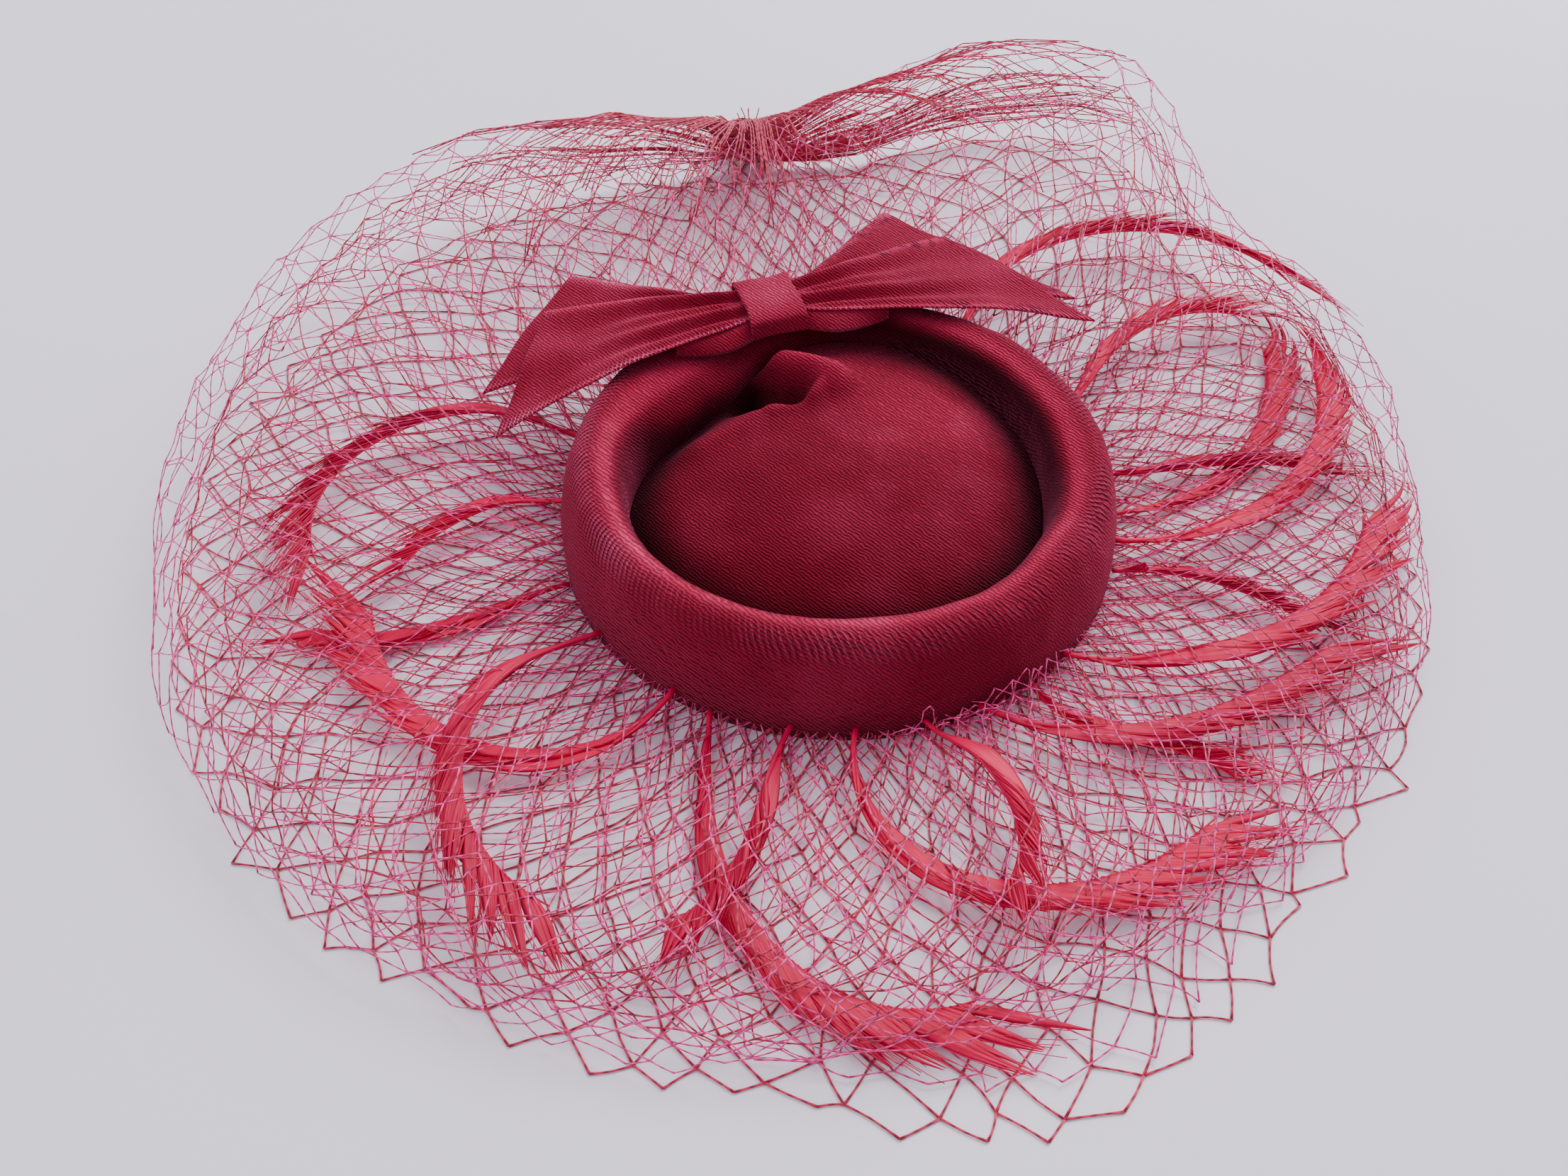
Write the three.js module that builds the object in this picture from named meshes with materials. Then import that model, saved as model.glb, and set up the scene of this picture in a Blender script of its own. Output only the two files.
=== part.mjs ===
// A small velvet pillbox hat that lies on a table: a rolled brim round a domed crown with a pinched pleat,
// a flat bow with four cut tails, curled feathers and a puffed net veil gathered in a knot at the back.
// Millimetres, +Z up, front of the hat towards -Y. Bearings are degrees round the hat, from +X towards +Y.
import * as THREE from "three";

// Hat body
const HAT_WIDTH = 186;
const HAT_DEPTH = 178;
const BRIM_HEIGHT = 38;
const BRIM_LEAN = 9;
const ROLL_WIDTH = 14;
const VELVET = 2;
const CROWN_TOP = 35;
const CROWN_FULLNESS = 2.4;
const SEAM_DEPTH = 3;
const PLEAT_FADE = 0.86;

// Bow
const BOW_BEARING = 108;
const BOW_REACH = 104;
const BOW_SEAT = 0.62;
const RIBBON = 1;
const RIBBON_GATHER = 17;
const RIBBON_DROOP = 9;
const DROOP_CURVE = 2.6;
const RIBBON_FOLD = 1.2;
const RIBBON_FOLDS = 2;
const FOLD_FADE = 0.55;
const LAYER_STEP = 4;
const KNOT_WIDTH = 20;
const KNOT_WALL = 1.5;
const KNOT_CORNER = 2.5;

// Feathers
const FEATHER_LENGTH = 165;
const FEATHER_THICKNESS = 1;
const FEATHER_WIDTH = 11;
const QUILL_WIDTH = 2.4;
const QUILL_SLANT = 0.7;
const QUILL_TIP = 0.3;
const VANE_START = 0.25;
const VANE_EDGE = 0.55;
const FEATHER_STEP = 3.2;
const QUILL_HEIGHT = 3.4;

// Veil
const VEIL_REACH = 220;
const VEIL_CREST = 50;
const VEIL_HEM = 14;
const VEIL_EDGE = 3.6;
const VEIL_PUFF = 2;
const CORD_WIDTH = 1.6;
const CORD_THICKNESS = 1.2;
const UPPER_STAND = 0.7;
const LOWER_STAND = 1.1;
const GATHER_BEARING = 98;
const GATHER_SPREAD = 26;
const GATHER_PULL = 0.72;
const BUNCH_LENGTH = 30;
const BUNCH_DEPTH = 18;
const BUNCH_HEIGHT = 15;
const BUNCH_FLAT = 0.8;
const BUNCH_LUMP = 0.1;

// Clearance between pieces that touch on the real hat
const GAP = 0.3;

// Mesh fineness
const BRIM_STEPS = 40;
const CROWN_RINGS = 8;
const RING_CROWDING = 0.85;
const TAIL_STEPS = 9;
const TAIL_LINES = 8;
const FEATHER_STEPS = 18;
const LINE_STEPS = 4;
const VEIL_COLUMNS = 20;
const VEIL_ROWS = 4;

// The brim's outer wall from foot to crest, as shares of its lean and height.
const OUTER_WALL = [
  { lean: 0.0, rise: 0.0 },
  { lean: 0.0, rise: 0.12 },
  { lean: 0.02, rise: 0.36 },
  { lean: 0.22, rise: 0.66 },
  { lean: 0.56, rise: 0.9 },
  { lean: 1.0, rise: 1.0 },
];

// The roll and the inner wall, from the crest inwards, as shares of the roll's width and of the drop to
// the seam.
const ROLL = [
  { across: 0.4, drop: 0.03 },
  { across: 0.76, drop: 0.14 },
  { across: 0.97, drop: 0.38 },
  { across: 1.02, drop: 0.68 },
  { across: 1.02, drop: 1.0 },
];

// Round the brim: the roll's width as a share of ROLL_WIDTH, and the crown seam's height as a share of
// BRIM_HEIGHT.
const BRIM = [
  { bearing: 0, roll: 0.95, seam: 0.4 },
  { bearing: 35, roll: 0.9, seam: 0.55 },
  { bearing: 65, roll: 0.8, seam: 0.7 },
  { bearing: 90, roll: 0.85, seam: 0.78 },
  { bearing: 110, roll: 1.25, seam: 0.74 },
  { bearing: 130, roll: 1.75, seam: 0.6 },
  { bearing: 148, roll: 1.6, seam: 0.45 },
  { bearing: 166, roll: 1.0, seam: 0.32 },
  { bearing: 200, roll: 0.75, seam: 0.26 },
  { bearing: 270, roll: 0.85, seam: 0.22 },
  { bearing: 325, roll: 0.85, seam: 0.3 },
];

// The pinched pleat: ridges and valleys in the crown. Places are shares of half the hat's width and depth,
// the rise is a share of the crown's height and the spread a share of half the hat's width. The pleat fades
// out between PLEAT_FADE of the way to the rim and the rim.
const PLEAT = [
  { fromX: -0.26, fromY: 0.62, toX: 0.01, toY: 0.42, rise: 0.17, spread: 0.1 },
  { fromX: -0.36, fromY: 0.52, toX: -0.12, toY: 0.38, rise: -0.27, spread: 0.11 },
  { fromX: -0.02, fromY: 0.33, toX: -0.22, toY: 0.26, rise: 0.09, spread: 0.1 },
  { fromX: -0.22, fromY: 0.26, toX: -0.5, toY: 0.2, rise: 0.09, spread: 0.1 },
];

// The bow's tails. Each edge leaves the knot on its own bearing; reaches are shares of BOW_REACH and droops
// shares of RIBBON_DROOP.
const TAILS = [
  {
    name: "bow_tail_right_top",
    side: 1,
    layer: 1,
    near: { bearing: 2, reach: 1.12, droop: 1.0 },
    far: { bearing: 35, reach: 0.76, droop: 1.0 },
  },
  {
    name: "bow_tail_right_under",
    side: 1,
    layer: 0,
    near: { bearing: 11, reach: 1.1, droop: 1.0 },
    far: { bearing: 56, reach: 0.75, droop: 1.0 },
  },
  {
    name: "bow_tail_left_top",
    side: -1,
    layer: 1,
    near: { bearing: 209, reach: 1.01, droop: 2.0 },
    far: { bearing: 181, reach: 0.76, droop: 0.9 },
  },
  {
    name: "bow_tail_left_under",
    side: -1,
    layer: 0,
    near: { bearing: 197, reach: 1.0, droop: 1.4 },
    far: { bearing: 163, reach: 0.73, droop: 0.6 },
  },
];

// The feathers. Each leaves the foot at a bearing, headed off the outward direction, bends by "bend" degrees
// over its length plus "curl" degrees that come late, and lies at a level among its neighbours. Lengths and
// widths are shares.
const FEATHERS = [
  { leaves: 156, heading: -8, length: 1.00, bend: 140, curl: 38, level: 3, width: 1.0 },
  { leaves: 175, heading: 6, length: 0.47, bend: 82, curl: 0, level: 2, width: 0.9 },
  { leaves: 198, heading: 0, length: 0.58, bend: 51, curl: -108, level: 0, width: 0.9 },
  { leaves: 215, heading: -15, length: 0.88, bend: 156, curl: -9, level: 3, width: 1.1 },
  { leaves: 236, heading: 6, length: 0.95, bend: -235, curl: 84, level: 1, width: 1.15 },
  { leaves: 244, heading: 24, length: 1.00, bend: 17, curl: 131, level: 0, width: 1.15 },
  { leaves: 260, heading: -15, length: 0.55, bend: 77, curl: -139, level: 2, width: 0.8 },
  { leaves: 272, heading: -13, length: 0.98, bend: 241, curl: -88, level: 1, width: 1.1 },
  { leaves: 285, heading: 26, length: 0.48, bend: 7, curl: -111, level: 3, width: 0.95 },
  { leaves: 296, heading: 32, length: 0.84, bend: 139, curl: -65, level: 2, width: 1.1 },
  { leaves: 309, heading: -20, length: 0.48, bend: 221, curl: -223, level: 0, width: 0.8 },
  { leaves: 318, heading: 26, length: 0.92, bend: 105, curl: -4, level: 3, width: 1.1 },
  { leaves: 344, heading: 21, length: 0.48, bend: -68, curl: 10, level: 1, width: 0.8 },
  { leaves: 353, heading: 4, length: 0.98, bend: 130, curl: -22, level: 2, width: 1.1 },
  { leaves: 3, heading: 5, length: 0.87, bend: 121, curl: -35, level: 0, width: 1.0 },
  { leaves: 14, heading: -18, length: 0.59, bend: 82, curl: -137, level: 1, width: 0.9 },
  { leaves: 33, heading: 8, length: 0.74, bend: 99, curl: -219, level: 3, width: 1.0 },
  { leaves: 62, heading: 14, length: 1.3, bend: -100, curl: -80, level: 4, width: 1.15 },
];

// Barb bundles along the outer edge of a feather: where each starts and ends, and how far it stands out.
const LOCKS = [
  { from: 0.34, to: 0.52, stand: 0.35 },
  { from: 0.52, to: 0.68, stand: 0.6 },
  { from: 0.68, to: 0.84, stand: 0.85 },
  { from: 0.84, to: 1.0, stand: 1.0 },
];

// Round the veil: how far the puffed upper layer and the flat lower layer reach, as shares of VEIL_REACH, and
// the height of the upper layer's crest as a share of VEIL_CREST.
const VEIL = [
  { bearing: 0, upper: 0.9, crest: 0.56, lower: 0.9 },
  { bearing: 25, upper: 0.97, crest: 0.72, lower: 0.93 },
  { bearing: 45, upper: 0.99, crest: 0.92, lower: 0.96 },
  { bearing: 60, upper: 1.24, crest: 1.16, lower: 1.19 },
  { bearing: 73, upper: 1.19, crest: 1.2, lower: 1.14 },
  { bearing: 86, upper: 1.04, crest: 1.0, lower: 1.04 },
  { bearing: 98, upper: 1.03, crest: 0.72, lower: 1.14 },
  { bearing: 112, upper: 1.03, crest: 0.92, lower: 1.05 },
  { bearing: 132, upper: 1.09, crest: 1.08, lower: 1.05 },
  { bearing: 152, upper: 1.09, crest: 0.96, lower: 1.04 },
  { bearing: 175, upper: 1.05, crest: 0.76, lower: 1.03 },
  { bearing: 205, upper: 1.01, crest: 0.56, lower: 1.02 },
  { bearing: 232, upper: 0.96, crest: 0.48, lower: 0.98 },
  { bearing: 260, upper: 0.91, crest: 0.42, lower: 0.945 },
  { bearing: 284, upper: 0.87, crest: 0.42, lower: 1.01 },
  { bearing: 306, upper: 0.84, crest: 0.46, lower: 0.92 },
  { bearing: 335, upper: 0.87, crest: 0.5, lower: 0.9 },
];

const turn = THREE.MathUtils.degToRad;
const smooth = THREE.MathUtils.smoothstep;

// A smooth closed curve through one column of a table whose rows go round by bearing.
function around(rows, column) {
  const count = rows.length;
  const row = (i) => rows[((i % count) + count) % count];
  const bearingOf = (i) => row(i).bearing + 360 * Math.floor(i / count);
  const slope = (i) => (row(i + 1)[column] - row(i - 1)[column]) / (bearingOf(i + 1) - bearingOf(i - 1));
  return (bearing) => {
    const b = ((bearing % 360) + 360) % 360;
    const i = rows.findLastIndex((r) => r.bearing <= b);
    const span = bearingOf(i + 1) - bearingOf(i);
    const t = (b - bearingOf(i)) / span;
    return (
      row(i)[column] * (1 + 2 * t) * (1 - t) ** 2 +
      slope(i) * span * t * (1 - t) ** 2 +
      row(i + 1)[column] * t * t * (3 - 2 * t) +
      slope(i + 1) * span * t * t * (t - 1)
    );
  };
}

const rollShare = around(BRIM, "roll");
const seamShare = around(BRIM, "seam");
const upperShare = around(VEIL, "upper");
const crestShare = around(VEIL, "crest");
const lowerShare = around(VEIL, "lower");

// The outward direction of the hat's oval at a bearing.
function outward(bearing) {
  const t = turn(bearing);
  return new THREE.Vector3(Math.cos(t) / HAT_WIDTH, Math.sin(t) / HAT_DEPTH, 0).normalize();
}

// A point on the hat's oval, moved inwards by an inset, at a height.
function onOval(bearing, inset, height) {
  const t = turn(bearing);
  const p = new THREE.Vector3((HAT_WIDTH / 2) * Math.cos(t), (HAT_DEPTH / 2) * Math.sin(t), height);
  return p.addScaledVector(outward(bearing), -inset);
}

// One closed skin over a row of loops that have the same number of points. Loops in a ring close on
// themselves; otherwise the two end loops are capped, each loop being a row of points and the same number
// back.
function skin(loops, ring) {
  const size = loops[0].length;
  const half = size / 2;
  const triangles = [];
  const spans = ring ? loops.length : loops.length - 1;
  for (let i = 0; i < spans; i++) {
    const next = (i + 1) % loops.length;
    for (let j = 0; j < size; j++) {
      const k = (j + 1) % size;
      const [a, b, c, d] = [i * size + j, i * size + k, next * size + k, next * size + j];
      triangles.push(a, c, b, a, d, c);
    }
  }
  if (!ring) {
    const end = (loops.length - 1) * size;
    for (let j = 0; j < half - 1; j++) {
      const [a, b, c, d] = [j, j + 1, size - 2 - j, size - 1 - j];
      triangles.push(a, b, c, a, c, d, end + a, end + c, end + b, end + a, end + d, end + c);
    }
  }
  const geometry = new THREE.BufferGeometry().setFromPoints(loops.flat());
  geometry.setIndex(triangles);
  geometry.computeVertexNormals();
  return geometry;
}

// The normal of a surface given as a function of two numbers.
function normalOf(surface, u, v, stepU, stepV) {
  const along = surface(u + stepU, v).sub(surface(u - stepU, v));
  const across = surface(u, v + stepV).sub(surface(u, v - stepV));
  return along.cross(across).normalize();
}

// The middle line of the brim's wall at a bearing, as insets and heights from the foot over the crest to the
// seam.
function brimLine(bearing) {
  const middle = VELVET / 2;
  const crest = BRIM_HEIGHT - middle;
  const width = ROLL_WIDTH * rollShare(bearing);
  const drop = crest - (BRIM_HEIGHT * seamShare(bearing) - SEAM_DEPTH);
  const wall = OUTER_WALL.map((r) => new THREE.Vector2(middle + BRIM_LEAN * r.lean, crest * r.rise));
  const start = middle + BRIM_LEAN;
  const roll = ROLL.map((r) => new THREE.Vector2(start + width * r.across, crest - drop * r.drop));
  return [...wall, ...roll];
}

// Both faces of a wall that follows a line, as one loop of insets and heights.
function wallLoop(line) {
  const faces = [[], []];
  line.forEach((p, i) => {
    const before = p.clone().sub(line[Math.max(i - 1, 0)]).normalize();
    const after = line[Math.min(i + 1, line.length - 1)].clone().sub(p).normalize();
    const along = before.add(after).normalize();
    const side = new THREE.Vector2(-along.y, along.x).multiplyScalar(VELVET / 2);
    faces[0].push(p.clone().add(side));
    faces[1].push(p.clone().sub(side));
  });
  return [...faces[0], ...faces[1].reverse()];
}

function brimGeometry() {
  const loops = [];
  for (let i = 0; i < BRIM_STEPS; i++) {
    const bearing = (i / BRIM_STEPS) * 360;
    loops.push(wallLoop(brimLine(bearing)).map((p) => onOval(bearing, p.x, p.y)));
  }
  return skin(loops, true);
}

// How high the pinched pleat lifts or sinks the crown at a place.
function pleatRise(x, y) {
  const [halfWidth, halfDepth] = [HAT_WIDTH / 2, HAT_DEPTH / 2];
  const place = new THREE.Vector3(x, y, 0);
  return PLEAT.reduce((sum, r) => {
    const from = new THREE.Vector3(r.fromX * halfWidth, r.fromY * halfDepth, 0);
    const to = new THREE.Vector3(r.toX * halfWidth, r.toY * halfDepth, 0);
    const near = new THREE.Line3(from, to).closestPointToPoint(place, true, new THREE.Vector3());
    const away = near.distanceTo(place) / (r.spread * halfWidth);
    return sum + r.rise * CROWN_TOP * Math.exp(-away * away);
  }, 0);
}

// The crown's upper face, from its middle (share 0) to its rim in the brim (share 1).
function crownPoint(bearing, share) {
  const seat = VELVET + BRIM_LEAN + ROLL_WIDTH * rollShare(bearing) * ROLL.at(-1).across + GAP;
  const rim = onOval(bearing, seat, BRIM_HEIGHT * seamShare(bearing));
  const swell = (CROWN_TOP - rim.z) * (1 - Math.abs(share) ** CROWN_FULLNESS);
  const p = new THREE.Vector3(rim.x * share, rim.y * share, rim.z + swell);
  p.z += pleatRise(p.x, p.y) * (1 - smooth(share, PLEAT_FADE, 1));
  return p;
}

function crownGeometry() {
  const loops = [];
  for (let i = 0; i < BRIM_STEPS; i++) {
    const bearing = (i / BRIM_STEPS) * 360;
    const [top, under] = [[], []];
    for (let j = 0; j <= CROWN_RINGS; j++) {
      const share = (j / CROWN_RINGS) ** RING_CROWDING;
      const p = crownPoint(bearing, share);
      const up = new THREE.Vector3(0, 0, 1);
      const atEnd = j === 0 || j === CROWN_RINGS;
      const normal = atEnd ? up : normalOf(crownPoint, bearing, share, 1, -0.02);
      top.push(p);
      under.push(p.clone().addScaledVector(normal, -VELVET));
    }
    loops.push([...top.reverse(), ...under]);
  }
  return skin(loops, true);
}

// The opening of the band round the bow takes both layers of folded ribbon with clearance.
const ribbonPocket = LAYER_STEP + RIBBON + 2 * RIBBON_FOLD + 2 * GAP;

// The middle of the bow's underside, above the crest of the roll.
const bowMiddle = onOval(BOW_BEARING, BRIM_LEAN + ROLL_WIDTH * BOW_SEAT, BRIM_HEIGHT + GAP);
const bowLine = turn(BOW_BEARING - 90);

// A tail's middle surface: u runs from the knot to the cut end, v from the near edge to the far edge.
function tailSurface(tail) {
  const alongBow = new THREE.Vector3(Math.cos(bowLine), Math.sin(bowLine), 0).multiplyScalar(tail.side);
  const acrossBow = new THREE.Vector3(-Math.sin(bowLine), Math.cos(bowLine), 0);
  const layer = bowMiddle.z + KNOT_WALL + GAP + RIBBON_FOLD + RIBBON / 2 + LAYER_STEP * tail.layer;
  const mouth = (KNOT_WIDTH / 2 + GAP) / BOW_REACH;
  const edgePoint = (edge, u, across) => {
    const root = bowMiddle.clone().addScaledVector(acrossBow, across);
    const start = Math.min(u / mouth, 1) * (KNOT_WIDTH / 2) + GAP;
    root.addScaledVector(alongBow, start);
    const end = bowMiddle.clone();
    end.x += BOW_REACH * edge.reach * Math.cos(turn(edge.bearing));
    end.y += BOW_REACH * edge.reach * Math.sin(turn(edge.bearing));
    return root.lerp(end, Math.max(u - mouth, 0) / (1 - mouth));
  };
  return (u, v) => {
    const near = edgePoint(tail.near, u, -RIBBON_GATHER / 2);
    const far = edgePoint(tail.far, u, RIBBON_GATHER / 2);
    const p = near.lerp(far, v);
    const reach = Math.hypot(p.x - bowMiddle.x, p.y - bowMiddle.y) / BOW_REACH;
    const fold = Math.cos(v * 2 * Math.PI * RIBBON_FOLDS) * RIBBON_FOLD * (1 - FOLD_FADE * u);
    const droop = RIBBON_DROOP * THREE.MathUtils.lerp(tail.near.droop, tail.far.droop, v);
    p.z = layer + fold - droop * reach ** DROOP_CURVE;
    return p;
  };
}

function tailGeometry(tail) {
  const surface = tailSurface(tail);
  const loops = [];
  for (let i = 0; i < TAIL_STEPS; i++) {
    const [top, under] = [[], []];
    for (let j = 0; j < TAIL_LINES + 1; j++) {
      const [u, v] = [i / (TAIL_STEPS - 1), j / TAIL_LINES];
      const normal = normalOf(surface, u, v, 0.02, 0.02).multiplyScalar((tail.side * RIBBON) / 2);
      top.push(surface(u, v).add(normal));
      under.push(surface(u, v).sub(normal));
    }
    loops.push(tail.side > 0 ? [...top, ...under.reverse()] : [...top.reverse(), ...under]);
  }
  return skin(loops, false);
}

// The band round the middle of the bow: a rounded sleeve, open at both ends for the tails.
function knotGeometry() {
  const rounded = (depth, height, radius) => {
    const shape = new THREE.Shape();
    const [x, y] = [depth / 2, height / 2];
    shape.moveTo(-x + radius, -y);
    shape.lineTo(x - radius, -y);
    shape.absarc(x - radius, -y + radius, radius, -Math.PI / 2, 0);
    shape.lineTo(x, y - radius);
    shape.absarc(x - radius, y - radius, radius, 0, Math.PI / 2);
    shape.lineTo(-x + radius, y);
    shape.absarc(-x + radius, y - radius, radius, Math.PI / 2, Math.PI);
    shape.lineTo(-x, -y + radius);
    shape.absarc(-x + radius, -y + radius, radius, Math.PI, Math.PI * 1.5);
    return shape;
  };
  const inside = RIBBON_GATHER + 2 * KNOT_CORNER;
  const band = rounded(inside + 2 * KNOT_WALL, ribbonPocket + 2 * KNOT_WALL, KNOT_CORNER + KNOT_WALL);
  band.holes.push(rounded(inside, ribbonPocket, KNOT_CORNER));
  const settings = { depth: KNOT_WIDTH, bevelEnabled: false, curveSegments: 3 };
  const geometry = new THREE.ExtrudeGeometry(band, settings);
  return geometry.translate(0, 0, -KNOT_WIDTH / 2);
}

// The line that a feather follows at its own level, from the foot of the brim, with its direction there.
function featherLine(feather) {
  const steps = FEATHER_STEPS * LINE_STEPS;
  const slant = Math.abs(Math.sin(turn(feather.heading))) * QUILL_WIDTH * QUILL_SLANT;
  const start = onOval(feather.leaves, -GAP - slant, 0);
  const out = outward(feather.leaves);
  const heading = Math.atan2(out.y, out.x) + turn(feather.heading);
  const level = QUILL_HEIGHT + FEATHER_STEP * feather.level;
  const low = Math.min(level, QUILL_HEIGHT + FEATHER_STEP);
  const stride = (FEATHER_LENGTH * feather.length) / steps;
  const points = [];
  const at = start.clone();
  for (let i = 0; i <= steps; i++) {
    const s = i / steps;
    const angle = heading + turn(feather.bend) * s + turn(feather.curl) * s * s;
    const height = THREE.MathUtils.lerp(low, level, smooth(s, 0.04, 0.3));
    points.push({ s, x: at.x, y: at.y, z: height, angle });
    at.x += Math.cos(angle) * stride;
    at.y += Math.sin(angle) * stride;
  }
  return points;
}

// How wide a feather stands on the outer side of its curl, barb bundles included.
function barbWidth(s) {
  const vane = THREE.MathUtils.lerp(VANE_START, 1, smooth(s, 0.05, 0.5));
  const lock = LOCKS.find((l) => s >= l.from && s < l.to);
  const stand = lock ? lock.stand * ((s - lock.from) / (lock.to - lock.from)) : 0;
  return vane * (VANE_EDGE + stand);
}

function featherGeometry(feather) {
  const line = featherLine(feather);
  const outerSide = feather.bend + feather.curl > 0 ? -1 : 1;
  const loops = [];
  for (let i = 0; i <= FEATHER_STEPS; i++) {
    const p = line[i * LINE_STEPS];
    const side = new THREE.Vector3(-Math.sin(p.angle), Math.cos(p.angle), 0);
    const width = FEATHER_WIDTH * feather.width;
    const inner = (QUILL_WIDTH / 2) * THREE.MathUtils.lerp(1, QUILL_TIP, smooth(p.s, 0.8, 1));
    const taper = 1 - 0.9 * smooth(p.s, 0.94, 1);
    const outer = Math.max(QUILL_WIDTH / 2, width * barbWidth(p.s) * taper);
    const left = outerSide > 0 ? outer : inner;
    const right = outerSide > 0 ? inner : outer;
    const middle = new THREE.Vector3(p.x, p.y, p.z);
    const corner = (across, up) => middle.clone().addScaledVector(side, across).setZ(p.z + up);
    const [top, under] = [FEATHER_THICKNESS / 2, -FEATHER_THICKNESS / 2];
    loops.push([corner(-right, top), corner(left, top), corner(left, under), corner(-right, under)]);
  }
  return skin(loops, false);
}

// A bearing drawn towards the gathered knot, the more the nearer it is to the veil's edge.
function gathered(bearing, share) {
  const off = ((bearing - GATHER_BEARING + 540) % 360) - 180;
  return bearing - off * GATHER_PULL * share * Math.exp(-((off / GATHER_SPREAD) ** 2));
}

// A place on a veil layer: from the foot of the brim (share 0) to the reach at a bearing (share 1).
function veilPlace(bearing, edgeBearing, share, offWall, reach, height) {
  const from = onOval(bearing, -offWall, 0);
  const to = new THREE.Vector3(reach * Math.cos(turn(edgeBearing)), reach * Math.sin(turn(edgeBearing)), 0);
  return from.lerp(to, share).setZ(height);
}

function upperVeil(bearing, share) {
  const pulled = gathered(bearing, share);
  const foot = THREE.MathUtils.lerp(VEIL_HEM, VEIL_EDGE, share);
  const rise = (VEIL_CREST * crestShare(pulled) - VEIL_EDGE) * Math.sin(Math.PI * share ** VEIL_PUFF);
  const outwards = (1 - Math.cos(Math.PI * share)) / 2;
  const reach = VEIL_REACH * upperShare(pulled);
  return veilPlace(bearing, pulled, outwards, GAP + CORD_WIDTH * UPPER_STAND, reach, foot + rise);
}

function lowerVeil(bearing, share) {
  const pulled = gathered(bearing, share);
  const reach = VEIL_REACH * lowerShare(pulled);
  return veilPlace(bearing, pulled, share, GAP + CORD_WIDTH * LOWER_STAND, reach, CORD_THICKNESS / 2);
}

// A diamond net on a surface, as one solid: a flat cord for each side of a diamond, all meeting at the knots.
// Cords between knots have "pieces" straight lengths.
function netGeometry(surface, pieces) {
  const stepShare = 1 / VEIL_ROWS;
  const stepBearing = 360 / VEIL_COLUMNS;
  const place = (column, row) => [(column + (row % 2) / 2) * stepBearing, row * stepShare];
  const faceUp = (bearing, share) => {
    const kept = THREE.MathUtils.clamp(share, 0.02, 0.98);
    return normalOf(surface, bearing, kept, 1, -0.02);
  };
  const points = [];
  const both = (p, normal) => {
    points.push(p.clone().addScaledVector(normal, CORD_THICKNESS / 2));
    points.push(p.clone().addScaledVector(normal, -CORD_THICKNESS / 2));
    return points.length - 2;
  };
  const triangles = [];
  const quad = (a, b, c, d) => triangles.push(a, b, c, a, c, d);

  const knots = new Map();
  const key = (column, row) => `${(column + VEIL_COLUMNS) % VEIL_COLUMNS},${row}`;
  for (let row = 0; row <= VEIL_ROWS; row++)
    for (let column = 0; column < VEIL_COLUMNS; column++) {
      const [before, after] = row % 2 ? [column, column + 1] : [column - 1, column];
      const neighbours = [
        [before, row + 1, -0.5, 1],
        [after, row + 1, 0.5, 1],
        [after, row - 1, 0.5, -1],
        [before, row - 1, -0.5, -1],
      ].filter((n) => n[1] >= 0 && n[1] <= VEIL_ROWS);
      const [bearing, share] = place(column, row);
      const p = surface(bearing, share);
      const normal = faceUp(bearing, share);
      const towards = neighbours.map((n) => {
        const d = surface(bearing + n[2] * stepBearing, share + n[3] * stepShare).sub(p);
        return d.addScaledVector(normal, -d.dot(normal)).normalize();
      });
      const corners = towards.map((d, i) => {
        const e = towards[(i + 1) % towards.length];
        const angle = Math.atan2(d.clone().cross(e).dot(normal), d.dot(e));
        const between = (angle + 2 * Math.PI) % (2 * Math.PI);
        const half = d.clone().applyAxisAngle(normal, between / 2);
        return both(p.clone().addScaledVector(half, CORD_WIDTH / 2 / Math.sin(between / 2)), normal);
      });
      for (let i = 1; i < corners.length - 1; i++) {
        triangles.push(corners[0], corners[i], corners[i + 1]);
        triangles.push(corners[0] + 1, corners[i + 1] + 1, corners[i] + 1);
      }
      const names = neighbours.map((n) => key(n[0], n[1]));
      knots.set(key(column, row), { bearing, share, neighbours, names, corners });
    }

  for (const [name, knot] of knots)
    knot.neighbours.forEach((n, i) => {
      if (n[3] < 0) return;
      const other = knots.get(knot.names[i]);
      const back = other.names.indexOf(name);
      const last = (list, at) => list[(at + list.length - 1) % list.length];
      let [left, right] = [knot.corners[i], last(knot.corners, i)];
      for (let piece = 1; piece <= pieces; piece++) {
        const t = piece / pieces;
        const at = [knot.bearing + n[2] * stepBearing * t, knot.share + stepShare * t];
        let [nextLeft, nextRight] = [last(other.corners, back), other.corners[back]];
        if (piece < pieces) {
          const middle = surface(...at);
          const normal = faceUp(...at);
          const along = surface(at[0] + n[2], at[1] + stepShare / stepBearing).sub(middle);
          const side = normal.clone().cross(along).normalize().multiplyScalar(CORD_WIDTH / 2);
          nextLeft = both(middle.clone().add(side), normal);
          nextRight = both(middle.clone().sub(side), normal);
        }
        quad(right, nextRight, nextLeft, left);
        quad(right + 1, left + 1, nextLeft + 1, nextRight + 1);
        quad(left, nextLeft, nextLeft + 1, left + 1);
        quad(right, right + 1, nextRight + 1, nextRight);
        [left, right] = [nextLeft, nextRight];
      }
    });

  const geometry = new THREE.BufferGeometry().setFromPoints(points);
  geometry.setIndex(triangles);
  geometry.computeVertexNormals();
  return geometry;
}

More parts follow.
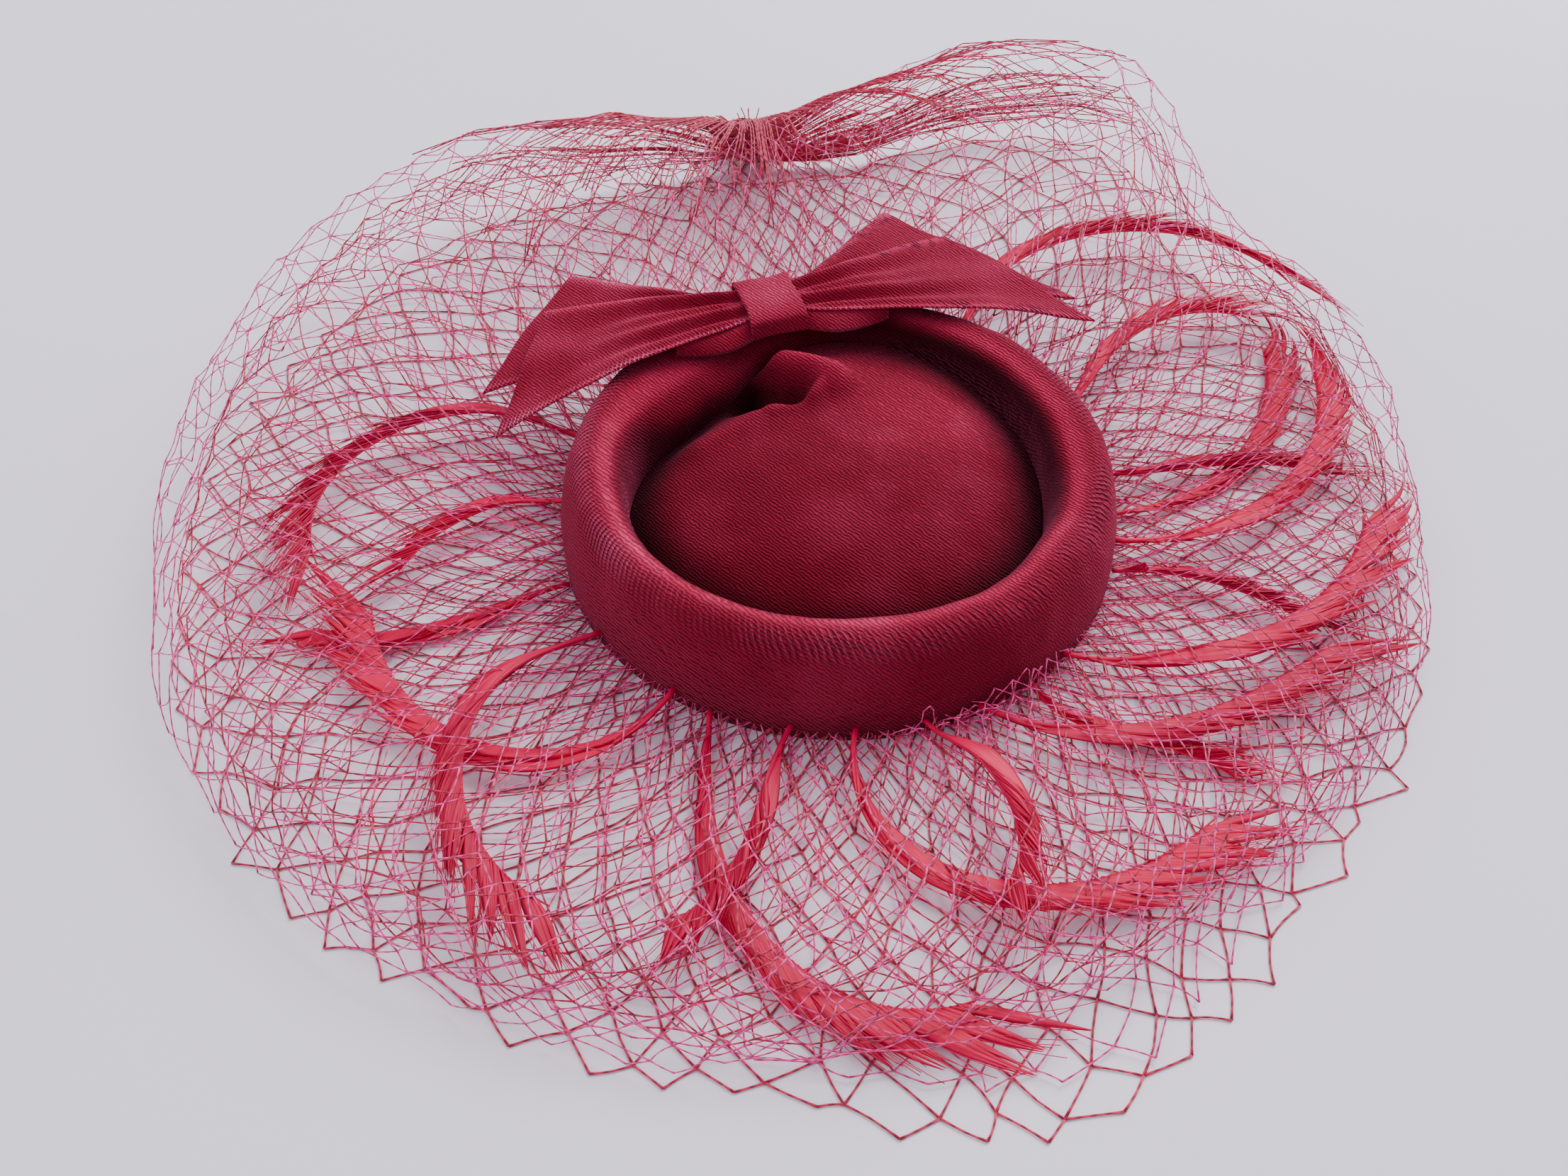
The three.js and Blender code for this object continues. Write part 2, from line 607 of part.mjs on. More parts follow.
// The knot that gathers the veil: a lumpy wad with a flat underside.
function bunchGeometry() {
  const [rings, sides] = [8, 14];
  const profile = [];
  for (let i = 0; i <= rings; i++) {
    const t = (i / rings) * Math.PI;
    profile.push(new THREE.Vector2(Math.sin(t) * (0.92 + 0.08 * Math.cos(4 * t)), -Math.cos(t)));
  }
  profile[0].x = 0;
  profile[rings].x = 0;
  const geometry = new THREE.LatheGeometry(profile, sides);
  const at = geometry.attributes.position;
  for (let i = 0; i < at.count; i++) {
    const p = new THREE.Vector3().fromBufferAttribute(at, i);
    const lump = 1 + BUNCH_LUMP * Math.cos(3 * Math.atan2(p.z, p.x));
    const height = Math.max(p.z * lump, -BUNCH_FLAT);
    at.setXYZ(i, (p.y * BUNCH_LENGTH) / 2, (-p.x * lump * BUNCH_DEPTH) / 2, (height * BUNCH_HEIGHT) / 2);
  }
  return geometry;
}

const velvet = new THREE.MeshStandardMaterial({ color: 0x9c2247, roughness: 0.95, metalness: 0 });
const crownVelvet = new THREE.MeshStandardMaterial({ color: 0x8f1a3c, roughness: 0.95, metalness: 0 });
const ribbonVelvet = new THREE.MeshStandardMaterial({ color: 0xa1284f, roughness: 0.9, metalness: 0 });
const dyedFeather = new THREE.MeshStandardMaterial({ color: 0xd82a48, roughness: 0.6, metalness: 0 });
const netThread = new THREE.MeshStandardMaterial({ color: 0xb83a5e, roughness: 0.6, metalness: 0 });

const hat = new THREE.Group();

function addPiece(name, geometry, material) {
  const mesh = new THREE.Mesh(geometry, material);
  mesh.name = name;
  hat.add(mesh);
  return mesh;
}

addPiece("brim", brimGeometry(), velvet);
addPiece("crown", crownGeometry(), crownVelvet);

const bow = addPiece("bow_knot", knotGeometry(), ribbonVelvet);
bow.quaternion.setFromRotationMatrix(
  new THREE.Matrix4().makeBasis(
    new THREE.Vector3(-Math.sin(bowLine), Math.cos(bowLine), 0),
    new THREE.Vector3(0, 0, 1),
    new THREE.Vector3(Math.cos(bowLine), Math.sin(bowLine), 0),
  ),
);
bow.position.copy(bowMiddle);
bow.position.z += KNOT_WALL + ribbonPocket / 2;
TAILS.forEach((tail) => addPiece(tail.name, tailGeometry(tail), ribbonVelvet));

FEATHERS.forEach((feather, i) => {
  addPiece(`feather_${String(i + 1).padStart(2, "0")}`, featherGeometry(feather), dyedFeather);
});

addPiece("veil_upper", netGeometry(upperVeil, 2), netThread);
addPiece("veil_lower", netGeometry(lowerVeil, 1), netThread);

const bunch = addPiece("veil_knot", bunchGeometry(), netThread);
const bunchReach = VEIL_REACH * upperShare(GATHER_BEARING) + GAP + CORD_WIDTH + BUNCH_DEPTH / 2;
bunch.position.set(
  bunchReach * Math.cos(turn(GATHER_BEARING)),
  bunchReach * Math.sin(turn(GATHER_BEARING)),
  CORD_THICKNESS + GAP + (BUNCH_FLAT * BUNCH_HEIGHT) / 2,
);
bunch.rotation.z = turn(GATHER_BEARING - 90);

// The origin is the middle of the whole part's underside.
const box = new THREE.Box3().setFromObject(hat, true);
const middle = box.getCenter(new THREE.Vector3());
hat.position.set(-middle.x, -middle.y, -box.min.z);

export default hat;
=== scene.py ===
"""The looks of a velvet pillbox hat with a bow, curled feathers and a puffed net veil.

They are built round the hat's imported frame.
Lengths in tables and functions are millimetres or shares of the named sizes, as in the part's own source.
Bearings are degrees round the hat, from +X towards +Y. The hat's middle is the middle of its brim.
"""

import math
import random

import bpy
import numpy as np
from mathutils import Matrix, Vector, noise


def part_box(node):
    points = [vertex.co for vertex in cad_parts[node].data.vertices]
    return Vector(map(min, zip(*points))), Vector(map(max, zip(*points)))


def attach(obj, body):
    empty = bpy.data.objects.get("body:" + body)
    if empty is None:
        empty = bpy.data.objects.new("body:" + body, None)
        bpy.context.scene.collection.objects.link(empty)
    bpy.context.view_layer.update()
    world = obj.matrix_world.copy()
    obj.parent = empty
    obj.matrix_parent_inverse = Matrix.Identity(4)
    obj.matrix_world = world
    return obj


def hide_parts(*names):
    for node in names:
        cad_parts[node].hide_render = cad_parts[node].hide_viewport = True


bl_info = {
    "name": "Velvet Pillbox Hat",
    "version": (1, 0, 0),
    "blender": (4, 5, 0),
    "location": "View3D > Sidebar > Hat",
    "description": "Builds a velvet pillbox hat with a ribbon bow, curled feathers and a net veil",
    "category": "Add Mesh",
}

# The smooth wander of cloth and net starts from this seed, so that each run gives the same hat.
noise.seed_set(4)

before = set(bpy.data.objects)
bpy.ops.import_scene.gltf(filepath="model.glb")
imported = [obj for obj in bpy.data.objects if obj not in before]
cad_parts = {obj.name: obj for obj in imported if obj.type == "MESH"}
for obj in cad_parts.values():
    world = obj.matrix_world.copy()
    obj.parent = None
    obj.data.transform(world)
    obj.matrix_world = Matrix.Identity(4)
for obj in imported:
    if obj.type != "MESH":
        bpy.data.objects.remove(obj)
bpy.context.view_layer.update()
brim_low, brim_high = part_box("brim")
MIDDLE = Vector(((brim_low[0] + brim_high[0]) / 2, (brim_low[1] + brim_high[1]) / 2, 0))

MM = 0.001
HAT_WIDTH = (brim_high[0] - brim_low[0]) / MM
HAT_DEPTH = (brim_high[1] - brim_low[1]) / MM
BRIM_HEIGHT = brim_high[2] / MM

# Gaps, seats, steps and fades, as in the part's source: millimetres, degrees and shares.
GAP = 0.3
SEAM_DEPTH = 3
CROWN_FULLNESS = 2.4
PLEAT_FADE = 0.86
BOW_SEAT = 0.62
RIBBON = 1
RIBBON_FOLDS = 2
RIBBON_GATHER = 17
DROOP_CURVE = 2.6
FOLD_FADE = 0.55
LAYER_STEP = 4
KNOT_WIDTH = 20
KNOT_WALL = 1.5
FEATHER_STEP = 3.2
QUILL_HEIGHT = 3.4
GATHER_BEARING = 98
GATHER_SPREAD = 26
GATHER_PULL = 0.72

# Sizes that are the looks' own, beside those of the plain solids: the crown's clearance from the roll, the
# thickness of the ribbon and of its turned edge, how far outside the foot a quill starts, and the height of
# the puff's edge.
SEAM_CLEARANCE = 0.1
RIBBON_PLY = 0.9
TURNED_PLY = 0.6
QUILL_START = 0.6
VEIL_EDGE = 3.2


def table(columns, *rows):
    """A table's rows, each with its numbers by the names of the columns."""
    return [dict(zip(columns.split(), row)) for row in rows]


# The brim's outer wall and roll, as in the part. The wall's rows are shares of the lean and the height, and
# the roll's are shares of the roll's width and of the drop to the seam.
OUTER_WALL = table(
    "lean rise",
    (0.0, 0.0),
    (0.0, 0.12),
    (0.02, 0.36),
    (0.22, 0.66),
    (0.56, 0.9),
    (1.0, 1.0),
)
ROLL = table(
    "across drop",
    (0.4, 0.03),
    (0.76, 0.14),
    (0.97, 0.38),
    (1.02, 0.68),
    (1.02, 1.0),
)

# Round the brim: the roll's width as a share of its usual width, and the seam's height as one of the brim's.
BRIM = table(
    "bearing roll seam",
    (0, 0.95, 0.4),
    (35, 0.9, 0.55),
    (65, 0.8, 0.7),
    (90, 0.85, 0.78),
    (110, 1.25, 0.74),
    (130, 1.75, 0.6),
    (148, 1.6, 0.45),
    (166, 1.0, 0.32),
    (200, 0.75, 0.26),
    (270, 0.85, 0.22),
    (325, 0.85, 0.3),
)

# The crown's pinched pleat: a fold that starts near the bow's band, the creased edge that runs on leftwards,
# the pocket beside the fold and the slack hollow at the left. Places are shares of the hat's half width and
# half depth, rises are shares of the crown's height, and spreads are shares of the half width.
PLEAT = table(
    "start end rise spread",
    ((-0.3, 0.6), (-0.02, 0.42), 0.27, 0.075),
    ((-0.02, 0.42), (-0.1, 0.35), 0.19, 0.06),
    ((-0.1, 0.35), (-0.24, 0.3), 0.15, 0.06),
    ((-0.24, 0.3), (-0.5, 0.18), 0.1, 0.08),
    ((-0.37, 0.46), (-0.17, 0.385), -0.45, 0.065),
    ((-0.46, 0.52), (-0.84, 0.16), -0.14, 0.1),
)

# The bow's tails: near and far edge as bearing, reach and droop.
TAILS = table(
    "name side layer near far",
    ("right_top", 1, 1, (2, 1.12, 1.0), (35, 0.76, 1.0)),
    ("right_under", 1, 0, (11, 1.1, 1.0), (56, 0.75, 1.0)),
    ("left_top", -1, 1, (209, 1.01, 2.0), (181, 0.76, 0.9)),
    ("left_under", -1, 0, (197, 1.0, 1.4), (163, 0.73, 0.6)),
)

# The feathers, in the part's order: the bearing where each leaves the brim, its heading off straight out, its
# length as a share of a full one, its bend and the further curl towards its tip in degrees, the level at
# which it lies, and its width as a share of a full one.
FEATHERS = table(
    "leaves heading length bend curl level width",
    (156, -8, 1.0, 140, 38, 3, 1.0),
    (175, 6, 0.47, 82, 0, 2, 0.9),
    (198, 0, 0.58, 51, -108, 0, 0.9),
    (215, -15, 0.88, 156, -9, 3, 1.1),
    (236, 6, 0.95, -235, 84, 1, 1.15),
    (244, 24, 1.0, 17, 131, 0, 1.15),
    (260, -15, 0.55, 77, -139, 2, 0.8),
    (272, -13, 0.98, 241, -88, 1, 1.1),
    (285, 26, 0.48, 7, -111, 3, 0.95),
    (296, 32, 0.84, 139, -65, 2, 1.1),
    (309, -20, 0.48, 221, -223, 0, 0.8),
    (318, 26, 0.92, 105, -4, 3, 1.1),
    (344, 21, 0.48, -68, 10, 1, 0.8),
    (353, 4, 0.98, 130, -22, 2, 1.1),
    (3, 5, 0.87, 121, -35, 0, 1.0),
    (14, -18, 0.59, 82, -137, 1, 0.9),
    (33, 8, 0.74, 99, -219, 3, 1.0),
    (62, 14, 1.3, -100, -80, 4, 1.15),
)

# Round the veil: reach of the puffed and the flat layers, and height of the crest.
VEIL = table(
    "bearing upper crest lower",
    (0, 0.9, 0.56, 0.9),
    (25, 0.97, 0.72, 0.93),
    (45, 0.99, 0.92, 0.96),
    (60, 1.24, 1.16, 1.19),
    (73, 1.19, 1.2, 1.14),
    (86, 1.04, 1.0, 1.04),
    (98, 1.03, 0.72, 1.14),
    (112, 1.03, 0.92, 1.05),
    (132, 1.09, 1.08, 1.05),
    (152, 1.09, 0.96, 1.04),
    (175, 1.05, 0.76, 1.03),
    (205, 1.01, 0.56, 1.02),
    (232, 0.96, 0.48, 0.98),
    (260, 0.91, 0.42, 0.945),
    (284, 0.87, 0.42, 1.01),
    (306, 0.84, 0.46, 0.92),
    (335, 0.87, 0.5, 0.9),
)

# The puffed layers of net, from the outermost in: reach and crest as shares of the veil's own, how many knots
# a row has, how many rows there are, their shear round the hat in degrees and the thread's radius.
UPPER_LAYERS = table(
    "name reach crest knots rows shear thread",
    ("outer", 0.995, 1, 82, 17, 4, 0.21),
    ("second", 0.955, 0.84, 66, 14, -13, 0.25),
    ("third", 0.975, 0.62, 74, 13, 17, 0.22),
    ("inner", 0.9, 0.42, 54, 11, -6, 0.26),
)

# The flat layers, which lie on the surface at a small lift.
LOWER_LAYERS = table(
    "name reach lift knots rows shear thread",
    ("cords", 1.0, 0.5, 66, 12, 5, 0.33),
    ("second", 0.95, 1.7, 64, 12, -12, 0.24),
)

# Which layers have the pale thread; the others have the deep one.
PALE_LAYERS = ["veil_net_outer", "veil_net_third", "veil_base_second"]

# At the front right the outermost layer stands up against the wall in a ruffle: its middle and half width as
# bearings, its height and how far it draws out of the brim.
RUFFLE = {"bearing": 306, "spread": 15, "height": 12, "out": 8.4}


def length_setting(name, description, default):
    return bpy.props.FloatProperty(name=name, description=description, unit="LENGTH", default=default)


def colour_setting(name, description, default):
    return bpy.props.FloatVectorProperty(
        name=name, description=description, subtype="COLOR", default=default
    )


class HatSizes(bpy.types.PropertyGroup):
    """Sizes of the hat's body and bow."""

    brim_lean: length_setting("Brim lean", "How far the brim's wall leans in", 9 * MM)
    roll_width: length_setting("Roll width", "Usual width of the rolled top", 14 * MM)
    velvet: length_setting("Velvet", "Thickness of the velvet walls", 2 * MM)
    crown_top: length_setting("Crown top", "Height of the crown's dome", 35 * MM)
    bow_bearing: bpy.props.FloatProperty(
        name="Bow bearing", description="Where the bow sits, in degrees round the hat", default=108
    )
    bow_reach: length_setting("Bow reach", "Length of a tail", 104 * MM)
    ribbon_fold: length_setting("Ribbon fold", "Depth of the tails' folds", 1.2 * MM)
    ribbon_droop: length_setting("Ribbon droop", "Sag of a tail's tip", 9 * MM)


class TrimSizes(bpy.types.PropertyGroup):
    """Sizes of the feathers and the veil."""

    feather_length: length_setting("Feather length", "Length of a full feather", 165 * MM)
    feather_width: length_setting("Feather width", "Width of a full vane", 11 * MM)
    locks: bpy.props.IntProperty(name="Barbs", description="Blades of barbs in a full feather", default=130)
    veil_reach: length_setting("Veil reach", "Usual radius of the veil", 220 * MM)
    veil_crest: length_setting("Veil crest", "Usual height of the puff", 50 * MM)
    veil_slack: length_setting("Veil slack", "How far the net's knots wander", 3.6 * MM)


class HatColours(bpy.types.PropertyGroup):
    """Colours of the velvet, satin, feathers, net and floor."""

    velvet: colour_setting("Velvet", "Colour in the pile", (0.205, 0.004, 0.021))
    velvet_light: colour_setting("Velvet light", "Tips of the pile", (0.41, 0.026, 0.082))
    satin: colour_setting("Satin", "Back of the ribbon", (0.62, 0.004, 0.045))
    feather: colour_setting("Feather", "Dyed feather", (0.72, 0.0005, 0.072))
    net_pale: colour_setting("Pale net", "Threads of the pale net", (0.88, 0.045, 0.29))
    net_deep: colour_setting("Deep net", "Threads of the deep net", (0.55, 0.012, 0.07))
    floor: colour_setting("Floor", "Pale cloth under the hat", (0.86, 0.83, 0.95))


class InMillimetres:
    """A settings group with its lengths in millimetres."""

    def __init__(self, group):
        for key in group.__annotations__:
            is_length = group.bl_rna.properties[key].unit == "LENGTH"
            setattr(self, key, getattr(group, key) / (MM if is_length else 1))


def sizes():
    return InMillimetres(bpy.context.scene.hat_sizes)


def trims():
    return InMillimetres(bpy.context.scene.hat_trims)


def colours():
    return bpy.context.scene.hat_colours


def around(rows, column):
    """A smooth closed curve through one column of a table whose rows go round by bearing."""
    count = len(rows)

    def bearing_of(i):
        return rows[i % count]["bearing"] + 360 * (i // count)

    def slope(i):
        rise = rows[(i + 1) % count][column] - rows[(i - 1) % count][column]
        return rise / (bearing_of(i + 1) - bearing_of(i - 1))

    def value(bearing):
        b = bearing % 360
        i = max(k for k in range(count) if rows[k]["bearing"] <= b)
        span = bearing_of(i + 1) - bearing_of(i)
        t = (b - bearing_of(i)) / span
        return (
            rows[i][column] * (1 + 2 * t) * (1 - t) ** 2
            + slope(i) * span * t * (1 - t) ** 2
            + rows[(i + 1) % count][column] * t * t * (3 - 2 * t)
            + slope(i + 1) * span * t * t * (t - 1)
        )

    return value


roll_share = around(BRIM, "roll")
seam_share = around(BRIM, "seam")
upper_share = around(VEIL, "upper")
crest_share = around(VEIL, "crest")
lower_share = around(VEIL, "lower")


def smooth(x, low, high):
    """0 up to low, 1 from high on, and eased between them."""
    t = min(max((x - low) / (high - low), 0), 1)
    return t * t * (3 - 2 * t)


def outward(bearing):
    """The direction straight out of the hat's oval."""
    t = math.radians(bearing)
    return Vector((math.cos(t) / HAT_WIDTH, math.sin(t) / HAT_DEPTH, 0)).normalized()


def on_oval(bearing, inset, height):
    """A point on the hat's oval, moved inwards, in millimetres from the hat's middle."""
    t = math.radians(bearing)
    p = Vector((HAT_WIDTH / 2 * math.cos(t), HAT_DEPTH / 2 * math.sin(t), height))
    return p - outward(bearing) * inset


def placed(p):
    """A point in millimetres from the hat's middle, as a point of the scene."""
    return MIDDLE + Vector(p) * MM


# The depth attribute of plain cloth, which paints light and shade on the pile: 0 is a painted highlight on an
# edge and 1 is painted shade deep in a fold.
EVEN_PILE = 0.3


def add_grid(name, columns, rows, place, depth=None):
    """A grid whose points are moved to place(u, v), with u and v from 0 to 1. Points that meet are merged.

    depth(u, v) gives the piece's depth attribute, which paints shade and highlight on its pile.
    """
    bpy.ops.object.select_all(action="DESELECT")
    bpy.ops.mesh.primitive_grid_add(x_subdivisions=columns, y_subdivisions=rows, size=2)
    piece = bpy.context.object
    piece.name = name
    shade = piece.data.attributes.new("depth", "FLOAT", "POINT")
    for vertex in piece.data.vertices:
        u, v = (vertex.co.x + 1) / 2, (vertex.co.y + 1) / 2
        shade.data[vertex.index].value = depth(u, v) if depth else EVEN_PILE
        vertex.co = placed(place(u, v))
    bpy.ops.object.mode_set(mode="EDIT")
    bpy.ops.mesh.select_all(action="SELECT")
    bpy.ops.mesh.remove_doubles(threshold=1e-6)
    bpy.ops.object.mode_set(mode="OBJECT")
    bpy.ops.object.shade_smooth()
    return piece


def thicken(piece, thickness, offset, back_material=False):
    """Gives a surface its wall, in millimetres. The back may take the piece's second material."""
    wall = piece.modifiers.new("Wall", "SOLIDIFY")
    wall.thickness = thickness * MM
    wall.offset = offset
    wall.material_offset = 1 if back_material else 0
    bpy.context.view_layer.objects.active = piece
    bpy.ops.object.modifier_apply(modifier=wall.name)


def tubes(name, paths, radii, sides, flat=1.0, roll=0.0):
    """One mesh of thin tubes. paths is runs by stations by 3, in millimetres; radii is runs by stations.

    flat is a section's height as a share of its width, and roll the turn of a flat section, in radians.
    """
    paths = np.asarray(paths, dtype=float)
    runs, stations, _ = paths.shape
    along = np.gradient(paths, axis=1)
    along /= np.linalg.norm(along, axis=2, keepdims=True) + 1e-9
    side = np.cross(along, (0.0, 0.0, 1.0))
    side /= np.linalg.norm(side, axis=2, keepdims=True) + 1e-9
    up = np.cross(side, along)
    turns = np.arange(sides) * math.tau / sides
    high = np.sin(turns) * flat
    across = np.cos(turns) * math.cos(roll) - high * math.sin(roll)
    above = np.cos(turns) * math.sin(roll) + high * math.cos(roll)
    ring = side[:, :, None] * across[:, None] + up[:, :, None] * above[:, None]
    points = paths[:, :, None] + ring * np.asarray(radii)[:, :, None, None]
    points = points.reshape(-1, 3) * MM + np.array(MIDDLE)
    index = np.arange(runs * stations * sides).reshape(runs, stations, sides)
    next_side = np.roll(index, -1, axis=2)
    walls = np.stack([index[:, :-1], index[:, 1:], next_side[:, 1:], next_side[:, :-1]], axis=-1)
    caps = np.concatenate([index[:, 0], index[:, -1, ::-1]])
    lengths = np.linalg.norm(np.diff(paths, axis=1), axis=2)
    run = np.concatenate([np.zeros((runs, 1)), np.cumsum(lengths, axis=1)], axis=1)
    near, far = run[:, :-1, None], run[:, 1:, None]
    low = np.broadcast_to(np.arange(sides) / sides, (runs, stations - 1, sides))
    far, near = np.broadcast_to(far, low.shape), np.broadcast_to(near, low.shape)
    corners = [(near, low), (far, low), (far, low + 1 / sides), (near, low + 1 / sides)]
    wall_uv = np.stack([np.stack(corner, axis=-1) for corner in corners], axis=-2).reshape(-1, 2)
    mesh = bpy.data.meshes.new(name)
    mesh.from_pydata(points.tolist(), [], walls.reshape(-1, 4).tolist() + caps.tolist())
    uv = np.zeros((len(mesh.loops), 2))
    uv[: len(wall_uv)] = wall_uv
    mesh.uv_layers.new(name="Thread").data.foreach_set("uv", uv.ravel())
    mesh.polygons.foreach_set("use_smooth", np.ones(len(mesh.polygons), dtype=bool))
    piece = bpy.data.objects.new(name, mesh)
    bpy.context.collection.objects.link(piece)
    return piece


def join(piece, *parts):
    """Makes one object of a piece and its parts."""
    bpy.ops.object.select_all(action="DESELECT")
    for part in (piece, *parts):
        part.select_set(True)
    bpy.context.view_layer.objects.active = piece
    bpy.ops.object.join()


def finish_piece(piece, materials, slot, *nodes):
    """Dresses a piece, sets it on the hat and lets it stand for its part's nodes."""
    piece.data.materials.clear()
    for material in materials:
        piece.data.materials.append(material)
    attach(piece, "root")
    if nodes:
        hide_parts(*nodes)


class Finish:
    """A node material being built. Its helpers take and give sockets."""

    def __init__(self, name):
        self.material = bpy.data.materials.get(name) or bpy.data.materials.new(name)
        self.material.use_nodes = True
        self.tree = self.material.node_tree
        self.shader = self.tree.nodes["Principled BSDF"]

    def node(self, kind, **values):
        made = self.tree.nodes.new(kind)
        for key, value in values.items():
            if key in made.inputs:
                made.inputs[key].default_value = value
            else:
                setattr(made, key, value)
        return made

    def link(self, source, target):
        self.tree.links.new(source, target)

    def set(self, **values):
        for key, value in values.items():
            self.shader.inputs[key.replace("_", " ")].default_value = value

    def colour(self, source):
        self.link(source, self.shader.inputs["Base Color"])
        return self.material

    def place(self, kind):
        return self.node("ShaderNodeTexCoord").outputs[kind]

    def noise(self, scale, detail=3):
        made = self.node("ShaderNodeTexNoise", Scale=scale, Detail=detail)
        self.link(self.place("Object"), made.inputs["Vector"])
        return made.outputs["Fac"]

    def math(self, operation, source, other):
        """Combines a socket with a number or with another socket."""
        made = self.node("ShaderNodeMath", operation=operation)
        self.link(source, made.inputs[0])
        if isinstance(other, (int, float)):
            made.inputs[1].default_value = other
        else:
            self.link(other, made.inputs[1])
        return made.outputs["Value"]

    def ramp(self, source, stops):
        """stops are (position, colour) pairs."""
        made = self.node("ShaderNodeValToRGB")
        band = made.color_ramp
        band.elements[0].position = stops[0][0]
        band.elements[0].color = (*stops[0][1], 1)
        band.elements[1].position = stops[-1][0]
        band.elements[1].color = (*stops[-1][1], 1)
        for position, colour in stops[1:-1]:
            band.elements.new(position).color = (*colour, 1)
        self.link(source, made.inputs["Fac"])
        return made.outputs["Color"]

    def multiply(self, first, second):
        made = self.node("ShaderNodeVectorMath", operation="MULTIPLY")
        self.link(first, made.inputs[0])
        self.link(second, made.inputs[1])
        return made.outputs["Vector"]

    def bump(self, source, strength, distance, under=None):
        made = self.node("ShaderNodeBump", Strength=strength, Distance=distance * MM)
        self.link(source, made.inputs["Height"])
        if under:
            self.link(under, made.inputs["Normal"])
        self.link(made.outputs["Normal"], self.shader.inputs["Normal"])
        return made.outputs["Normal"]


def scaled(colour, share):
    return tuple(min(c * share, 1) for c in colour)


def grey(value):
    return (value, value, value)


# The ends of a mask: PLAIN leaves what it multiplies, and COVERED takes it away.
PLAIN = grey(1)
COVERED = grey(0)


def velvet(name, tone, sheen, ribs=0, slant=0, rib_band=None):
    """Cut velvet: twill rows under a deep pile, with patches where it leans, painted shade in folds and
    painted highlight on edges and on the ribs' crests.

    ribs is how many run along the piece's u, slant how many of them a rib crosses over v, and rib_band the
    stretch of v that has them.
    """
    c = colours()
    deep, light = scaled(c.velvet, tone), scaled(c.velvet_light, tone)
    finish = Finish(name)
    finish.set(Roughness=0.85, Sheen_Weight=sheen, Sheen_Roughness=0.4, Sheen_Tint=(1.0, 0.16, 0.36, 1))
    finish.set(Specular_IOR_Level=0.08)
    nap = tuple((d + l) / 2 for d, l in zip(deep, light))
    pile = finish.ramp(finish.noise(30, 5), [(0.3, scaled(deep, 0.9)), (0.5, deep), (0.78, nap)])
    twill = finish.node(
        "ShaderNodeTexWave", Scale=370, Distortion=5.5, Detail=2.5, bands_direction="DIAGONAL"
    )
    finish.link(finish.place("Object"), twill.inputs["Vector"])
    rows = finish.ramp(twill.outputs["Fac"], [(0.1, grey(0.5)), (0.8, grey(1.3))])
    tinted = finish.multiply(pile, rows)
    # The depth attribute paints light: a painted highlight where it is low, and painted shade in folds where
    # it is high.
    depth = finish.node("ShaderNodeAttribute", attribute_name="depth")
    painted_highlight, painted_shade = (2.1, 3.4, 2.7), (0.14, 0.1, 0.16)
    hollow = finish.ramp(depth.outputs["Fac"], [(0.0, painted_highlight), (EVEN_PILE, PLAIN), (1.0, painted_shade)])
    shaded = finish.multiply(tinted, hollow)
    under = finish.bump(finish.noise(2600, 2), 0.5, 0.35)
    under = finish.bump(twill.outputs["Fac"], 0.8, 0.4, under)
    if ribs:
        masked = rib_wave(finish, ribs, slant, rib_band)
        finish.bump(masked, 1.0, 0.5, under)
        # The ribs' crests get a painted highlight.
        rib_highlight = (1.9, 6.0, 3.8)
        tips = finish.ramp(masked, [(0.0, PLAIN), (0.9, rib_highlight)])
        shaded = finish.multiply(shaded, tips)
    return finish.colour(shaded)


def rib_wave(finish, ribs, slant, rib_band):
    """The height of a velvet's ribs: they waver, and patches of them are worn down."""
    parts = finish.node("ShaderNodeSeparateXYZ")
    finish.link(finish.place("UV"), parts.inputs["Vector"])
    lean = finish.math("MULTIPLY", parts.outputs["Y"], slant * math.tau)
    beat = finish.math("MULTIPLY", parts.outputs["X"], ribs * math.tau)
    loose = finish.math("MULTIPLY", finish.noise(260, 1), 3.5)
    wave = finish.math("SINE", finish.math("ADD", finish.math("ADD", beat, lean), loose), 0)
    worn = finish.ramp(finish.noise(38, 3), [(0.38, grey(0.15)), (0.62, PLAIN)])
    patchy = finish.math("MULTIPLY", wave, worn)
    return finish.math("MULTIPLY", patchy, finish.ramp(parts.outputs["Y"], rib_band))


def satin():
    """The ribbon's shiny back, with fine ribs across."""
    c = colours()
    finish = Finish("ribbon_satin")
    finish.set(Roughness=0.42, Specular_IOR_Level=0.4, Anisotropic=0.5, Sheen_Weight=0.2)
    weave = finish.node("ShaderNodeTexWave", Scale=900, Distortion=0.6)
    finish.link(finish.place("Object"), weave.inputs["Vector"])
    finish.bump(weave.outputs["Fac"], 0.3, 0.15)
    shades = [(0.3, scaled(c.satin, 0.8)), (0.7, scaled(c.satin, 1.2))]
    return finish.colour(finish.ramp(finish.noise(60), shades))


def feather_finish(name, tone):
    """Dyed barbs: fine streaks along the feather and a soft gloss."""
    base = scaled(colours().feather, tone)
    finish = Finish(name)
    finish.set(Roughness=0.5, Specular_IOR_Level=0.2)
    stretch = finish.node("ShaderNodeMapping", Scale=(0.03, 9, 1))
    finish.link(finish.place("UV"), stretch.inputs["Vector"])
    streaks = finish.node("ShaderNodeTexNoise", Scale=2.2, Detail=4)
    finish.link(stretch.outputs["Vector"], streaks.inputs["Vector"])
    finish.bump(streaks.outputs["Fac"], 0.35, 0.2)
    glow = (min(base[0] * 1.15, 1), 0.015, 0.1)
    shades = [(0.3, scaled(base, 0.6)), (0.5, base), (0.72, glow)]
    return finish.colour(finish.ramp(streaks.outputs["Fac"], shades))


